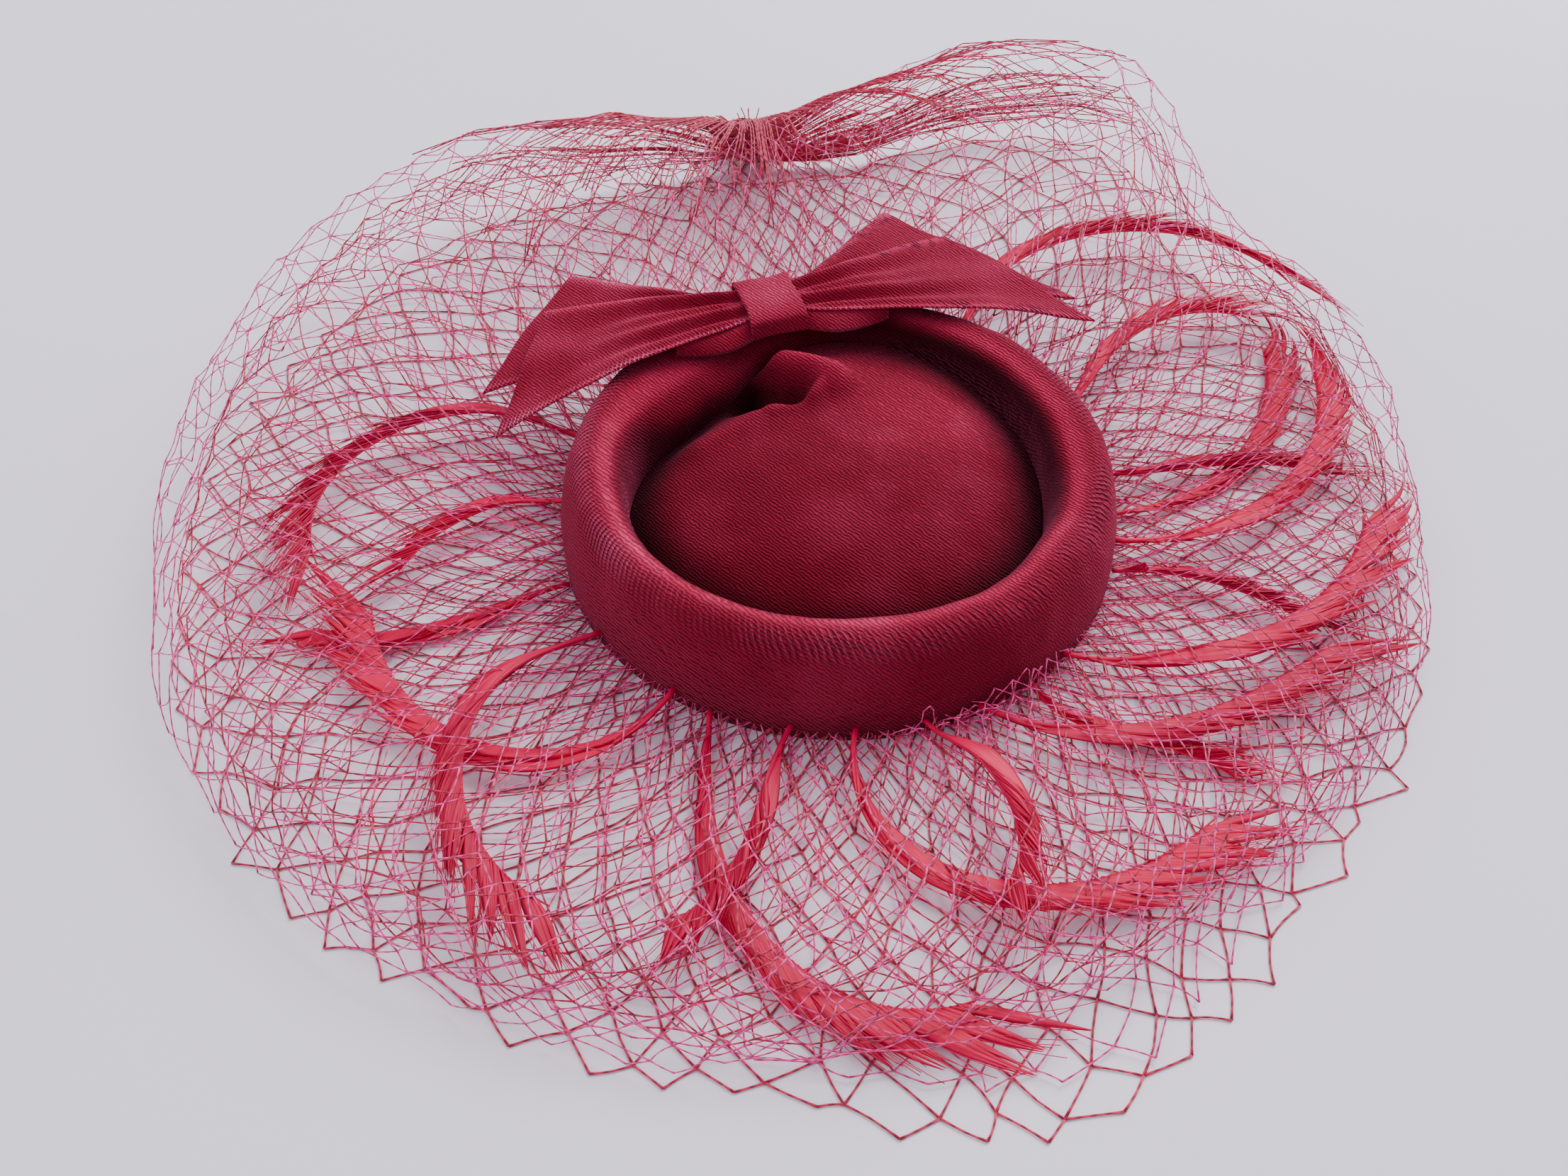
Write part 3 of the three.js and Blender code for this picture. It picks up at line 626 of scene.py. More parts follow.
def thread(tone):
    """Twisted net thread: two plies wound round each other show as slanted ribs along the UV."""
    c = colours()
    colour = c.net_pale if tone == "pale" else c.net_deep
    finish = Finish(f"net_thread_{tone}")
    finish.set(Roughness=0.6, Sheen_Weight=0.3, Specular_IOR_Level=0.3)
    twist = finish.node("ShaderNodeMapping", Scale=(0.16, 0.32, 1))
    finish.link(finish.place("UV"), twist.inputs["Vector"])
    plies = finish.node("ShaderNodeTexWave", Scale=1.0, Distortion=0.3, bands_direction="DIAGONAL")
    finish.link(twist.outputs["Vector"], plies.inputs["Vector"])
    finish.bump(plies.outputs["Fac"], 0.7, 0.3)
    # Painted shade in the grooves between the plies and painted highlight on their crests.
    groove = finish.ramp(plies.outputs["Fac"], [(0.15, grey(0.55)), (0.6, grey(1.2))])
    dye = [(0.25, scaled(colour, 0.7)), (0.5, tuple(colour)), (0.8, scaled(colour, 1.3))]
    return finish.colour(finish.multiply(finish.ramp(finish.noise(24, 2), dye), groove))


def wander(p, scale, depth, seed=0):
    """A smooth wandering offset, for cloth and net that doesn't lie quite evenly."""
    return noise.noise_vector(Vector((p[0] * scale, p[1] * scale, p[2] * scale + seed))) * depth


def spline(points, t):
    """A smooth curve through evenly counted points, t from 0 to 1."""
    last = len(points) - 1
    i = min(int(t * last), last - 1)
    k = t * last - i
    before, after = points[max(i - 1, 0)], points[min(i + 2, last)]
    a, b = points[i], points[i + 1]
    return 0.5 * (
        2 * a
        + (b - before) * k
        + (2 * before - 5 * a + 4 * b - after) * k * k
        + (3 * a - before - 3 * b + after) * k * k * k
    )


def brim_line(bearing):
    """The middle of the brim's wall, from the foot over the crest to the seam, as insets and heights."""
    s = sizes()
    middle = s.velvet / 2
    crest = BRIM_HEIGHT - middle
    width = s.roll_width * roll_share(bearing)
    drop = crest - (BRIM_HEIGHT * seam_share(bearing) - SEAM_DEPTH)
    wall = [Vector((middle + s.brim_lean * r["lean"], crest * r["rise"])) for r in OUTER_WALL]
    roll = [Vector((middle + s.brim_lean + width * r["across"], crest - drop * r["drop"])) for r in ROLL]
    return wall + roll


def pleat_rise(x, y):
    """Height of the pleat at a point of the crown: the highest ridge, less what the hollows take away."""
    half = Vector((HAT_WIDTH / 2, HAT_DEPTH / 2))
    crown_top = sizes().crown_top
    ridge = hollow = 0
    for fold in PLEAT:
        start = Vector((fold["start"][0] * half.x, fold["start"][1] * half.y))
        end = Vector((fold["end"][0] * half.x, fold["end"][1] * half.y))
        run = end - start
        k = min(max((Vector((x, y)) - start).dot(run) / run.length_squared, 0), 1)
        away = (Vector((x, y)) - start - run * k).length / (fold["spread"] * half.x)
        height = fold["rise"] * crown_top * math.exp(-away * away)
        ridge = max(ridge, height)
        hollow += min(height, 0)
    return ridge + hollow


def crown_point(bearing, share):
    """A point on the crown's outside, from its middle (share 0) to its seam in the brim (share 1)."""
    s = sizes()
    roll = s.roll_width * roll_share(bearing) * ROLL[-1]["across"]
    rim = on_oval(bearing, s.velvet + s.brim_lean + roll + SEAM_CLEARANCE, BRIM_HEIGHT * seam_share(bearing))
    height = rim.z + (s.crown_top - rim.z) * (1 - share**CROWN_FULLNESS)
    height += pleat_rise(rim.x * share, rim.y * share) * (1 - smooth(share, PLEAT_FADE, 1))
    return Vector((rim.x * share, rim.y * share, height))


def bell(x, middle, spread):
    """1 at the middle, and fading to both sides."""
    return math.exp(-(((x - middle) / spread) ** 2))


# Bearings of the brim's back, under the bow, and of its left side.
BACK = 104
LEFT = 180


class HAT_OT_brim(bpy.types.Operator):
    """Roll the velvet brim"""

    bl_idname = "hat.brim"
    bl_label = "Brim"

    def execute(self, context):
        def place(u, v):
            """u goes round the hat, and v from the foot over the roll to the seam."""
            bearing = u * 360
            inset, height = spline(brim_line(bearing), v)
            p = on_oval(bearing, inset, height)
            # A broad and a finer unevenness, none at the foot and the seam.
            soft = smooth(v, 0.1, 0.3) * (1 - smooth(v, 0.85, 1))
            p += wander(p, 0.035, 1.1 * soft) + wander(p, 0.12, 0.35 * soft, 7)
            return p

        def depth(u, v):
            """Painted highlight along the roll's lip, and painted shade inside the roll and at the foot."""
            bearing = u * 360
            lip = smooth(v, 0.52, 0.6) * (1 - smooth(v, 0.64, 0.72))
            foot = 1 - smooth(v, 0.0, 0.3)
            turn = 0.61 + 0.17 * smooth(roll_share(bearing), 0.85, 1.5)
            # Painted shade inside the roll, less at the back and the left, where the inside is lit.
            lit = 0.55 * bell(bearing, BACK, 24) + 0.3 * bell(bearing, LEFT, 28)
            inside = (0.75 - lit) * smooth(v, turn, turn + 0.15)
            return min(EVEN_PILE - 0.24 * lip + inside + 0.25 * foot, 1)

        piece = add_grid("brim_velvet", 360, 44, place, depth)
        thicken(piece, sizes().velvet, 0)
        crest = [(0.36, COVERED), (0.43, PLAIN), (0.49, PLAIN), (0.55, COVERED)]
        pile = velvet("brim_velvet", tone=1.0, sheen=0.45, ribs=250, slant=14, rib_band=crest)
        finish_piece(piece, [pile], "brim_velvet", "brim")
        return {"FINISHED"}


# The rise of a fold, in millimetres, that gives the pile its full painted shade in a pocket and its full
# painted highlight on a ridge.
DEEP_FOLD = 8


class HAT_OT_crown(bpy.types.Operator):
    """Shape the domed crown and its pinched pleat"""

    bl_idname = "hat.crown"
    bl_label = "Crown"

    def execute(self, context):
        def place(u, v):
            bearing, share = self.round_grid(u, v)
            p = crown_point(bearing, share)
            inside = 1 - smooth(share, 0.8, 1)
            p.z += wander(p, 0.03, 1.6 * inside, 3).z + wander(p, 0.1, 0.35 * inside, 5).z
            return p

        def depth(u, v):
            """Painted shade at the seam and in the pleat's pocket, and painted highlight on the pleat's
            ridges and on a patch at the right back.
            """
            bearing, share = self.round_grid(u, v)
            p = crown_point(bearing, share)
            rise = pleat_rise(p.x, p.y) / DEEP_FOLD
            # Painted shade towards the seam, less under the bow.
            edge = 0.75 * smooth(share, 0.72, 1.0) * (1 - 0.8 * bell(bearing, BACK, 26))
            # A painted highlight on a patch at the right back of the dome, and on the pleat's ridges.
            swing = math.radians(bearing)
            from_patch = (share * math.cos(swing) - 0.42) ** 2 + (share * math.sin(swing) - 0.4) ** 2
            highlight_patch = 0.2 * math.exp(-from_patch / 0.12)
            ridge = 0.3 * smooth(rise, 0.25, 1.0)
            return min(max(EVEN_PILE + edge + min(max(-rise, 0), 0.45) - ridge - highlight_patch, 0), 1)

        piece = add_grid("crown_velvet", 150, 150, place, depth)
        thicken(piece, sizes().velvet, -1)
        pile = velvet("crown_velvet", tone=0.86, sheen=0.2)
        finish_piece(piece, [pile], "crown_velvet", "crown")
        return {"FINISHED"}

    def round_grid(self, u, v):
        """Turns a place in a square grid into a bearing and a share of the radius."""
        x, y = 2 * u - 1, 2 * v - 1
        a, b = x * math.sqrt(1 - y * y / 2), y * math.sqrt(1 - x * x / 2)
        return math.degrees(math.atan2(b, a)), min(math.hypot(a, b), 1)


def bow_middle():
    """Where the bow sits on the brim's roll."""
    s = sizes()
    return on_oval(s.bow_bearing, s.brim_lean + s.roll_width * BOW_SEAT, BRIM_HEIGHT + GAP)


def bow_axes(side):
    """The directions along a tail and across it; side is 1 for a right tail and -1 for a left one."""
    line = math.radians(sizes().bow_bearing - 90)
    along = Vector((math.cos(line), math.sin(line), 0)) * side
    return along, Vector((-math.sin(line), math.cos(line), 0))


# Beside the band the ribbon is gathered into smaller folds: how many, and how deep.
GATHERS = 4
GATHER_DEPTH = 1.1


def tail_point(tail, u, v):
    """A point on a tail: u from the knot to the cut end, v from the near to the far edge."""
    s = sizes()
    along, across = bow_axes(tail["side"])
    start = bow_middle()
    mouth = (KNOT_WIDTH / 2 + GAP) / s.bow_reach

    def edge(spec, offset):
        bearing, reach, _ = spec
        root = start + across * offset + along * (min(u / mouth, 1) * KNOT_WIDTH / 2 + GAP)
        swing = math.radians(bearing)
        end = start + Vector((math.cos(swing), math.sin(swing), 0)) * (s.bow_reach * reach)
        return root.lerp(end, max(u - mouth, 0) / (1 - mouth))

    p = edge(tail["near"], -RIBBON_GATHER / 2).lerp(edge(tail["far"], RIBBON_GATHER / 2), v)
    reach = math.hypot(p.x - start.x, p.y - start.y) / s.bow_reach
    droop = s.ribbon_droop * (tail["near"][2] + (tail["far"][2] - tail["near"][2]) * v)
    fold = math.cos(v * RIBBON_FOLDS * math.tau) * s.ribbon_fold * (1 - FOLD_FADE * u)
    gather = GATHER_DEPTH * smooth(u, 0.06, 0.2) * (1 - smooth(u, 0.25, 0.9))
    fold += math.cos(v * GATHERS * math.tau + 2) * gather
    layer = start.z + KNOT_WALL + GAP + s.ribbon_fold + RIBBON / 2 + LAYER_STEP * tail["layer"]
    p.z = layer + fold - droop * reach**DROOP_CURVE
    free = smooth(u, 0.15, 0.6)
    return p + wander(p, 0.045, 1.2 * free, tail["layer"] * 9 + tail["side"])


class HAT_OT_bow(bpy.types.Operator):
    """Fold the ribbon bow and its band"""

    bl_idname = "hat.bow"
    bl_label = "Bow"

    def execute(self, context):
        edges = [(0.05, PLAIN), (0.1, COVERED), (0.9, COVERED), (0.95, PLAIN)]
        pile = velvet("ribbon_velvet", tone=1.2, sheen=0.6, ribs=62, rib_band=edges)
        back = satin()
        for tail in TAILS:
            name = f"ribbon_{tail['name']}"
            piece = add_grid(name, 90, 40, lambda u, v: tail_point(tail, u, v), self.selvedge)
            if tail["side"] < 0:
                piece.data.flip_normals()
            thicken(piece, RIBBON_PLY, -1, back_material=True)
            if tail["layer"]:
                self.turned_edge(piece, tail)
            finish_piece(piece, [pile, back], "ribbon_velvet", f"bow_tail_{tail['name']}")
        self.band()
        return {"FINISHED"}

    def selvedge(self, u, v):
        """The pile has a painted highlight along a tail's long edges."""
        return EVEN_PILE * smooth(min(v, 1 - v), 0.0, 0.07)

    def turned_edge(self, piece, tail):
        """Beside the band the tail's near edge turns under and shows its satin back."""
        _, across = bow_axes(tail["side"])
        widest, lap, below, drop = 7.5, 0.8, 1.2, 4.5

        def place(u, v):
            width = widest * math.sin(math.pi * (0.28 + 0.7 * u))
            edge = tail_point(tail, 0.09 + 0.27 * u, 0.03)
            return edge - across * (v * width - lap) - Vector((0, 0, below + drop * v * v))

        fold = add_grid("turned_edge", 24, 10, place)
        if tail["side"] < 0:
            fold.data.flip_normals()
        thicken(fold, TURNED_PLY, -1)
        for face in fold.data.polygons:
            face.material_index = 1
        for part in (fold, piece):
            part.data.materials.append(None)
            part.data.materials.append(None)
        join(piece, fold)

    def band(self):
        """The band is a cylinder drawn out flat round the ribbons, hollow, with softened edges."""
        along, across = bow_axes(1)
        middle = bow_middle() + Vector((0, 0, 5.5))
        half_width, half_height, squareness = 13.2, 5.1, 0.45
        bpy.ops.object.select_all(action="DESELECT")
        bpy.ops.mesh.primitive_cylinder_add(vertices=72, radius=1, depth=2, end_fill_type="NOTHING")
        piece = bpy.context.object
        piece.name = "bow_band"
        bpy.ops.object.mode_set(mode="EDIT")
        bpy.ops.mesh.select_all(action="SELECT")
        bpy.ops.mesh.subdivide(number_cuts=7)
        bpy.ops.object.mode_set(mode="OBJECT")
        for vertex in piece.data.vertices:
            x, y, z = vertex.co
            bearing = math.atan2(y, x)
            pinch = 1 - 0.05 * (1 - z * z)
            wide = math.copysign(abs(math.cos(bearing)) ** squareness, math.cos(bearing)) * pinch
            high = math.copysign(abs(math.sin(bearing)) ** squareness, math.sin(bearing)) * pinch
            p = middle + across * (wide * half_width) + along * (z * KNOT_WIDTH / 2)
            p.z += high * half_height
            vertex.co = placed(p + wander(p, 0.12, 0.5, 4))
        thicken(piece, KNOT_WALL, -1)
        edges = piece.modifiers.new("Edges", "BEVEL")
        edges.width = 0.4 * MM
        edges.segments = 2
        bpy.ops.object.modifier_apply(modifier=edges.name)
        bpy.ops.object.shade_smooth()
        pile = velvet("band_velvet", tone=0.75, sheen=0.4)
        finish_piece(piece, [pile], "ribbon_velvet", "bow_knot")


def feather_path(feather, steps):
    """Points, directions and heights along a feather's middle."""
    t = trims()
    out = outward(feather["leaves"])
    heading = math.atan2(out.y, out.x) + math.radians(feather["heading"])
    level = QUILL_HEIGHT + FEATHER_STEP * feather["level"]
    start = on_oval(feather["leaves"], -QUILL_START, 0)
    stride = t.feather_length * feather["length"] / steps
    x, y = start.x, start.y
    rows = []
    for i in range(steps + 1):
        s = i / steps
        angle = heading + math.radians(feather["bend"]) * s + math.radians(feather["curl"]) * s * s
        low = min(level, QUILL_HEIGHT + FEATHER_STEP)
        rows.append((x, y, low + (level - low) * smooth(s, 0.04, 0.3), angle))
        x += math.cos(angle) * stride
        y += math.sin(angle) * stride
    return rows


# From this share of the veil's reach outwards the net holds the barbs back, and at each step they take this
# share of the turn that would lay them along its edge.
NET_HOLDS = 0.95
NET_TURNS = 0.15


def lock_path(rows, feather, outer, leaves, length, rng):
    """A barb's line: it leaves the quill at a slant and follows part of the curl."""
    t = trims()
    steps = len(rows) - 1
    stride = 2.0
    per_step = t.feather_length * feather["length"] / steps
    x, y, z, angle = rows[int(leaves * steps)]
    slant = 8 + 7 * smooth(leaves, 0.1, 0.4) + 12 * smooth(leaves, 0.4, 0.84) + rng.uniform(-3, 5)
    follow = 0.95 - 0.55 * smooth(leaves, 0.3, 0.8) + rng.uniform(-0.2, 0.1) * smooth(leaves, 0.2, 0.7)
    angle += outer * math.radians(slant)
    lift = rng.uniform(-1.2, 2.2)
    count = max(int(length / stride), 3)
    points = []
    for i in range(count + 1):
        share = i / count
        points.append((x, y, z + 0.5 + lift * share * share))
        here = min(leaves * steps + i * stride / per_step, steps - 1)
        k = int(here)
        bend = (rows[k + 1][3] - rows[k][3]) * stride / per_step
        angle += bend * follow * (1 - 0.35 * share * share)
        swing = math.atan2(y, x)
        edge = t.veil_reach * lower_share(math.degrees(swing) % 360)
        if math.hypot(x, y) > NET_HOLDS * edge:
            turn = math.remainder(swing - math.pi / 2 - angle, math.tau)
            turn = turn if bend < 0 else math.remainder(turn + math.pi, math.tau)
            angle += NET_TURNS * turn
        x += math.cos(angle) * stride
        y += math.sin(angle) * stride
    return np.array(points)


def resampled(path, stations):
    """A path with its points counted anew, evenly along it."""
    at = np.linspace(0, len(path) - 1, stations)
    return np.stack([np.interp(at, np.arange(len(path)), path[:, i]) for i in range(3)], axis=1)


# How many neighbouring blades of barbs lie together in one pointed lock, how long a full lock and a loose
# hair are, and the hair's radius.
CLUMP = 9
LOCK_LENGTH = 35
HAIR_LENGTH = 36
HAIR_RADIUS = 0.14

# How finely a feather's curl is stepped, and its quill drawn.
FEATHER_STEPS = 80
QUILL_STATIONS = 44


class HAT_OT_feathers(bpy.types.Operator):
    """Curl the dyed feathers out from under the brim"""

    bl_idname = "hat.feathers"
    bl_label = "Feathers"

    def execute(self, context):
        finishes = [feather_finish(f"feather_{i}", tone) for i, tone in enumerate((1.0, 0.86, 1.12))]
        for number, feather in enumerate(FEATHERS, 1):
            piece = self.feather(number, feather)
            finish_piece(piece, [finishes[number % 3]], "feather", f"feather_{number:02d}")
        return {"FINISHED"}

    def feather(self, number, feather):
        """A stripped feather: bare inside the curl, with a vane outside that parts into pointed locks."""
        rng = random.Random(number * 31)
        rows = feather_path(feather, FEATHER_STEPS)
        outer = -1 if feather["bend"] + feather["curl"] > 0 else 1
        stations = 10
        paths, widths = [], []
        count = int(trims().locks * feather["length"])
        share = np.linspace(0, 1, stations)
        drawn_together = (0.88 * share**1.2)[:, None]
        for k in range(count):
            leaves = 0.04 + 0.81 * k / (count - 1) + rng.uniform(-0.006, 0.006)
            grown = smooth(leaves, 0.0, 0.2)
            if k % CLUMP == 0:
                length = LOCK_LENGTH * rng.uniform(0.8, 1.2) * (0.5 + 0.5 * grown)
                length *= 1 - 0.25 * smooth(leaves, 0.7, 0.95)
                length *= feather["width"] * min(feather["length"] * 1.25, 1.0)
                lead = resampled(lock_path(rows, feather, outer, leaves, length, rng), stations)
            path = lock_path(rows, feather, outer, leaves, length * rng.uniform(0.75, 1.0), rng)
            path = resampled(path, stations)
            paths.append(path + (lead - path) * drawn_together)
            full = rng.uniform(0.8, 1.4) * (0.6 + 0.4 * grown)
            widths.append(full * np.clip(0.45 + 2.2 * share, 0, 1) * np.clip((1 - share) * 1.8, 0.04, 1))
        name = f"dyed_feather_{number:02d}"
        blades = tubes(name, paths, widths, sides=4, flat=0.16, roll=outer * 0.5)
        quill = np.array([(x, y, z) for x, y, z, _ in rows[: int(len(rows) * 0.9)]])
        thinning = np.linspace(0.95, 0.3, QUILL_STATIONS)
        stem = tubes("quill", [resampled(quill, QUILL_STATIONS)], [thinning], sides=6)
        vane = self.vane(rows, feather, outer)
        hairs = []
        for _ in range(count // 2):
            leaves = rng.uniform(0.2, 0.84)
            length = HAIR_LENGTH * rng.uniform(0.8, 1.1) * feather["width"]
            hairs.append(resampled(lock_path(rows, feather, outer, leaves, length, rng), stations))
        fringe = tubes("fringe", hairs, np.full((len(hairs), stations), HAIR_RADIUS), sides=3)
        join(blades, stem, vane, fringe)
        return blades

    def vane(self, rows, feather, outer):
        """The close-lying barbs beside the quill, as one thin ribbon that widens from the foot."""
        middles, halves = [], []
        last = len(rows) - 1
        for i, (x, y, z, angle) in enumerate(rows[: int(last * 0.88)]):
            s = i / last
            full = trims().feather_width * feather["width"] * 0.62
            half = full * (0.12 + 0.88 * smooth(s, 0.03, 0.38)) * (1 - 0.95 * smooth(s, 0.66, 0.88)) / 2
            middles.append((x - math.sin(angle) * outer * half, y + math.cos(angle) * outer * half, z - 0.1))
            halves.append(half)
        return tubes("vane", [middles], [halves], sides=8, flat=0.07, roll=outer * 0.12)


def gathered(bearing, share):
    """Draws a bearing towards the knot, the more the nearer it is to the veil's edge."""
    off = (bearing - GATHER_BEARING + 540) % 360 - 180
    return bearing - off * GATHER_PULL * share * math.exp(-((off / GATHER_SPREAD) ** 2))


def edge_point(bearing, reach):
    swing = math.radians(bearing)
    return Vector((reach * math.cos(swing), reach * math.sin(swing), 0))


# How far inside the hat's foot the puffed and the flat layers start.
UNDER_BRIM = 6
UNDER_FOOT = 1.5


def upper_point(layer, bearing, share):
    """A point on a puffed layer, from the foot of the brim (share 0) to the veil's edge (share 1)."""
    t = trims()
    pulled = gathered(bearing, share)
    crest = t.veil_crest * crest_share(pulled) * layer["crest"]
    hem = 1.2 + 1.5 * layer["crest"]
    foot = hem + (VEIL_EDGE - hem) * share
    rise = max(crest - VEIL_EDGE, 2) * math.sin(math.pi * share**2)
    out = (1 - math.cos(math.pi * share)) / 2
    edge = edge_point(pulled, t.veil_reach * upper_share(pulled) * layer["reach"])
    off = (bearing - RUFFLE["bearing"] + 180) % 360 - 180
    loose = bell(off, 0, RUFFLE["spread"]) if layer is UPPER_LAYERS[0] else 0
    p = on_oval(bearing, UNDER_BRIM - RUFFLE["out"] * loose, 0).lerp(edge, out)
    p.z = foot + rise + RUFFLE["height"] * loose * (1 - share) ** 4
    return p


def lower_point(layer, bearing, share):
    """A point on a flat layer."""
    pulled = gathered(bearing, share)
    edge = edge_point(pulled, trims().veil_reach * lower_share(pulled) * layer["reach"])
    p = on_oval(bearing, UNDER_FOOT, 0).lerp(edge, share)
    p.z = layer["lift"]
    return p


# The puffed layers' rows of diamonds are longer near the brim by this power of their share.
ROW_CROWDING = 0.8

# How uneven the net is: a knot's stray and the edge's ragged rows as shares of a diamond, a thread's bow as a
# share of its length, and how much thicker it is at its knots.
UNEVEN = 0.18
RAGGED = 0.7
THREAD_BOW = 0.055
KNOT_SWELL = 1.35


def net(name, layer, surface, seed, flat):
    """A diamond net over a surface: knots that wander a little, joined by slightly slack threads."""
    rng = random.Random(seed)
    slack = trims().veil_slack
    columns, rows = layer["knots"], layer["rows"]
    knots = {}
    for row in range(rows + 1):
        for column in range(columns):
            share = (row / rows) ** (1 if flat else ROW_CROWDING)
            loose = rng.uniform(-UNEVEN, UNEVEN) / rows if 0 < row < rows else 0
            if row == rows:
                loose = -rng.uniform(0, RAGGED) / rows
            bearing = (column + (row % 2) / 2 + rng.uniform(-UNEVEN, UNEVEN)) * 360 / columns
            bearing += layer["shear"] * share
            p = surface(layer, bearing, share + loose)
            free = smooth(share, 0.0, 0.25)
            drift = wander(p, 0.03, slack * free, seed) + wander(p, 0.1, slack * 0.45 * free, seed + 5)
            p += Vector((drift.x, drift.y, 0 if flat else drift.z * 0.8))
            p.z = max(p.z, layer["thread"] + 0.05)
            knots[column, row] = p
    paths = []
    for row in range(rows):
        for column in range(columns):
            start = knots[column, row]
            before, after = (column, column + 1) if row % 2 else (column - 1, column)
            for other in (before, after):
                end = knots[other % columns, row + 1]
                bow = Vector((rng.uniform(-1, 1), rng.uniform(-1, 1), 0 if flat else rng.uniform(-1.4, 0.4)))
                middle = (start + end) / 2 + bow * (end - start).length * THREAD_BOW
                first, last = (start + middle) / 2 + bow * 0.12, (middle + end) / 2 + bow * 0.12
                paths.append([start, first, middle, last, end])
    radii = np.full((len(paths), 5), layer["thread"])
    radii[:, 0] *= KNOT_SWELL
    radii[:, -1] *= KNOT_SWELL
    return tubes(name, [[tuple(p) for p in path] for path in paths], radii, 4)


def dress_net(piece, node, stands_for_it):
    """Gives a layer its thread. One layer of each veil stands for the veil's node."""
    tone = "pale" if piece.name in PALE_LAYERS else "deep"
    finish_piece(piece, [thread(tone)], "net", *([node] if stands_for_it else []))


LOOSE_LOOPS = 26


class HAT_OT_upper_veil(bpy.types.Operator):
    """Puff the upper layers of the net"""

    bl_idname = "hat.upper_veil"
    bl_label = "Upper veil"

    def execute(self, context):
        for seed, layer in enumerate(UPPER_LAYERS, 11):
            piece = net(f"veil_net_{layer['name']}", layer, upper_point, seed, False)
            if layer is UPPER_LAYERS[0]:
                join(piece, self.loose_loops(layer))
            dress_net(piece, "veil_upper", layer is UPPER_LAYERS[0])
        return {"FINISHED"}

    def loose_loops(self, layer):
        """A few threads spring up against the wall at the front right."""
        rng = random.Random(8)
        paths = []
        for _ in range(LOOSE_LOOPS):
            bearing, span = rng.uniform(284, 322), rng.uniform(-9, 9)
            height, stand = rng.uniform(6, 17), rng.uniform(1.5, 7)
            ends = [0.5 + 0.5 * math.cos(math.pi * i / 8) for i in range(9)]
            arc = [on_oval(bearing + span * k, -1.0 - stand * math.sin(math.pi * k), 1.0) for k in ends]
            for k, p in zip(ends, arc):
                p.z += height * math.sin(math.pi * k) ** 0.7
            paths.append([tuple(p + wander(p, 0.15, 1.5, 90)) for p in arc])
        return tubes("loops", paths, np.full((len(paths), 9), layer["thread"]), 4)


class HAT_OT_lower_veil(bpy.types.Operator):
    """Lay the lower layers of the net on the surface"""

    bl_idname = "hat.lower_veil"
    bl_label = "Lower veil"

    def execute(self, context):
        for seed, layer in enumerate(LOWER_LAYERS, 31):
            piece = net(f"veil_base_{layer['name']}", layer, lower_point, seed, True)
            dress_net(piece, "veil_lower", layer is LOWER_LAYERS[0])
        return {"FINISHED"}


# The knot's threads: how many of each kind, how many points each has and their radius.
KNOT_LOOPS = 190
PUFF_STRANDS = 200
EDGE_STRANDS = 70
CUT_ENDS = 90
KNOT_STATIONS = 9
KNOT_THREAD = 0.28


class HAT_OT_veil_knot(bpy.types.Operator):
    """Bunch the net at the back"""

    bl_idname = "hat.veil_knot"
    bl_label = "Veil knot"

    def execute(self, context):
        low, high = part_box("veil_knot")
        middle = ((Vector(low) + Vector(high)) / 2 - MIDDLE) / MM
        half = Vector([(far - near) / 2 for near, far in zip(low, high)]) / MM
        rng = random.Random(5)
        paths = [self.loop(middle, half, rng) for _ in range(KNOT_LOOPS)]
        paths += [self.strand(middle, False, rng) for _ in range(PUFF_STRANDS)]
        paths += [self.strand(middle, True, rng) for _ in range(EDGE_STRANDS)]
        paths += [self.cut_end(middle, half, rng) for _ in range(CUT_ENDS)]
        piece = tubes("veil_bunch", paths, np.full((len(paths), KNOT_STATIONS), KNOT_THREAD), 4)
        finish_piece(piece, [thread("deep")], "net", "veil_knot")
        return {"FINISHED"}

    def loop(self, middle, half, rng):
        """A thread wound round the knot."""
        a, b = rng.uniform(0, math.tau), rng.uniform(-1, 1)
        turn_a, turn_b = rng.uniform(-2.6, 2.6), rng.uniform(-0.7, 0.7)
        path = []
        for i in range(KNOT_STATIONS):
            k = i / (KNOT_STATIONS - 1)
            lift = min(max(b + turn_b * k, -1), 1)
            girth = math.sqrt(1 - lift * lift) * rng.uniform(0.6, 1.3)
            swing = a + turn_a * k
            x = middle.x + half.x * girth * math.cos(swing)
            y = middle.y + half.y * girth * math.sin(swing)
            path.append((x, y, middle.z + half.z * lift))
        return path

    def strand(self, middle, along_edge, rng):
        """A gathered thread that runs out of the knot into the puff, or along the veil's right edge."""
        swing = rng.uniform(-1, -0.3) if along_edge else rng.uniform(-1, 1)
        inner = rng.uniform(0.9, 0.985) if along_edge else rng.uniform(0.45, 0.97)
        spread = 42 * swing * abs(swing) ** 0.3
        start = middle + Vector((rng.uniform(-9, 9), rng.uniform(-6, 4), rng.uniform(-4, 5)))
        path = []
        for i in range(KNOT_STATIONS):
            k = i / (KNOT_STATIONS - 1)
            along = upper_point(UPPER_LAYERS[0], GATHER_BEARING + spread * k, 1 - (1 - inner) * k)
            along += wander(along, 0.05, 3.0, 40)
            path.append(tuple(start.lerp(along, smooth(k, 0, 0.22))))
        return path

    def cut_end(self, middle, half, rng):
        """A short end that sticks out of the knot."""
        swing, rise = rng.uniform(0, math.tau), rng.uniform(0.1, 1.0)
        away = Vector((half.x * math.cos(swing), half.y * math.sin(swing), half.z * rise))
        reach = rng.uniform(1.0, 1.25)
        steps = [0.5 + (reach - 0.5) * i / (KNOT_STATIONS - 1) for i in range(KNOT_STATIONS)]
        ends = [middle + away * step for step in steps]
        return [tuple(p + wander(p, 0.2, 1.6, 60)) for p in ends]


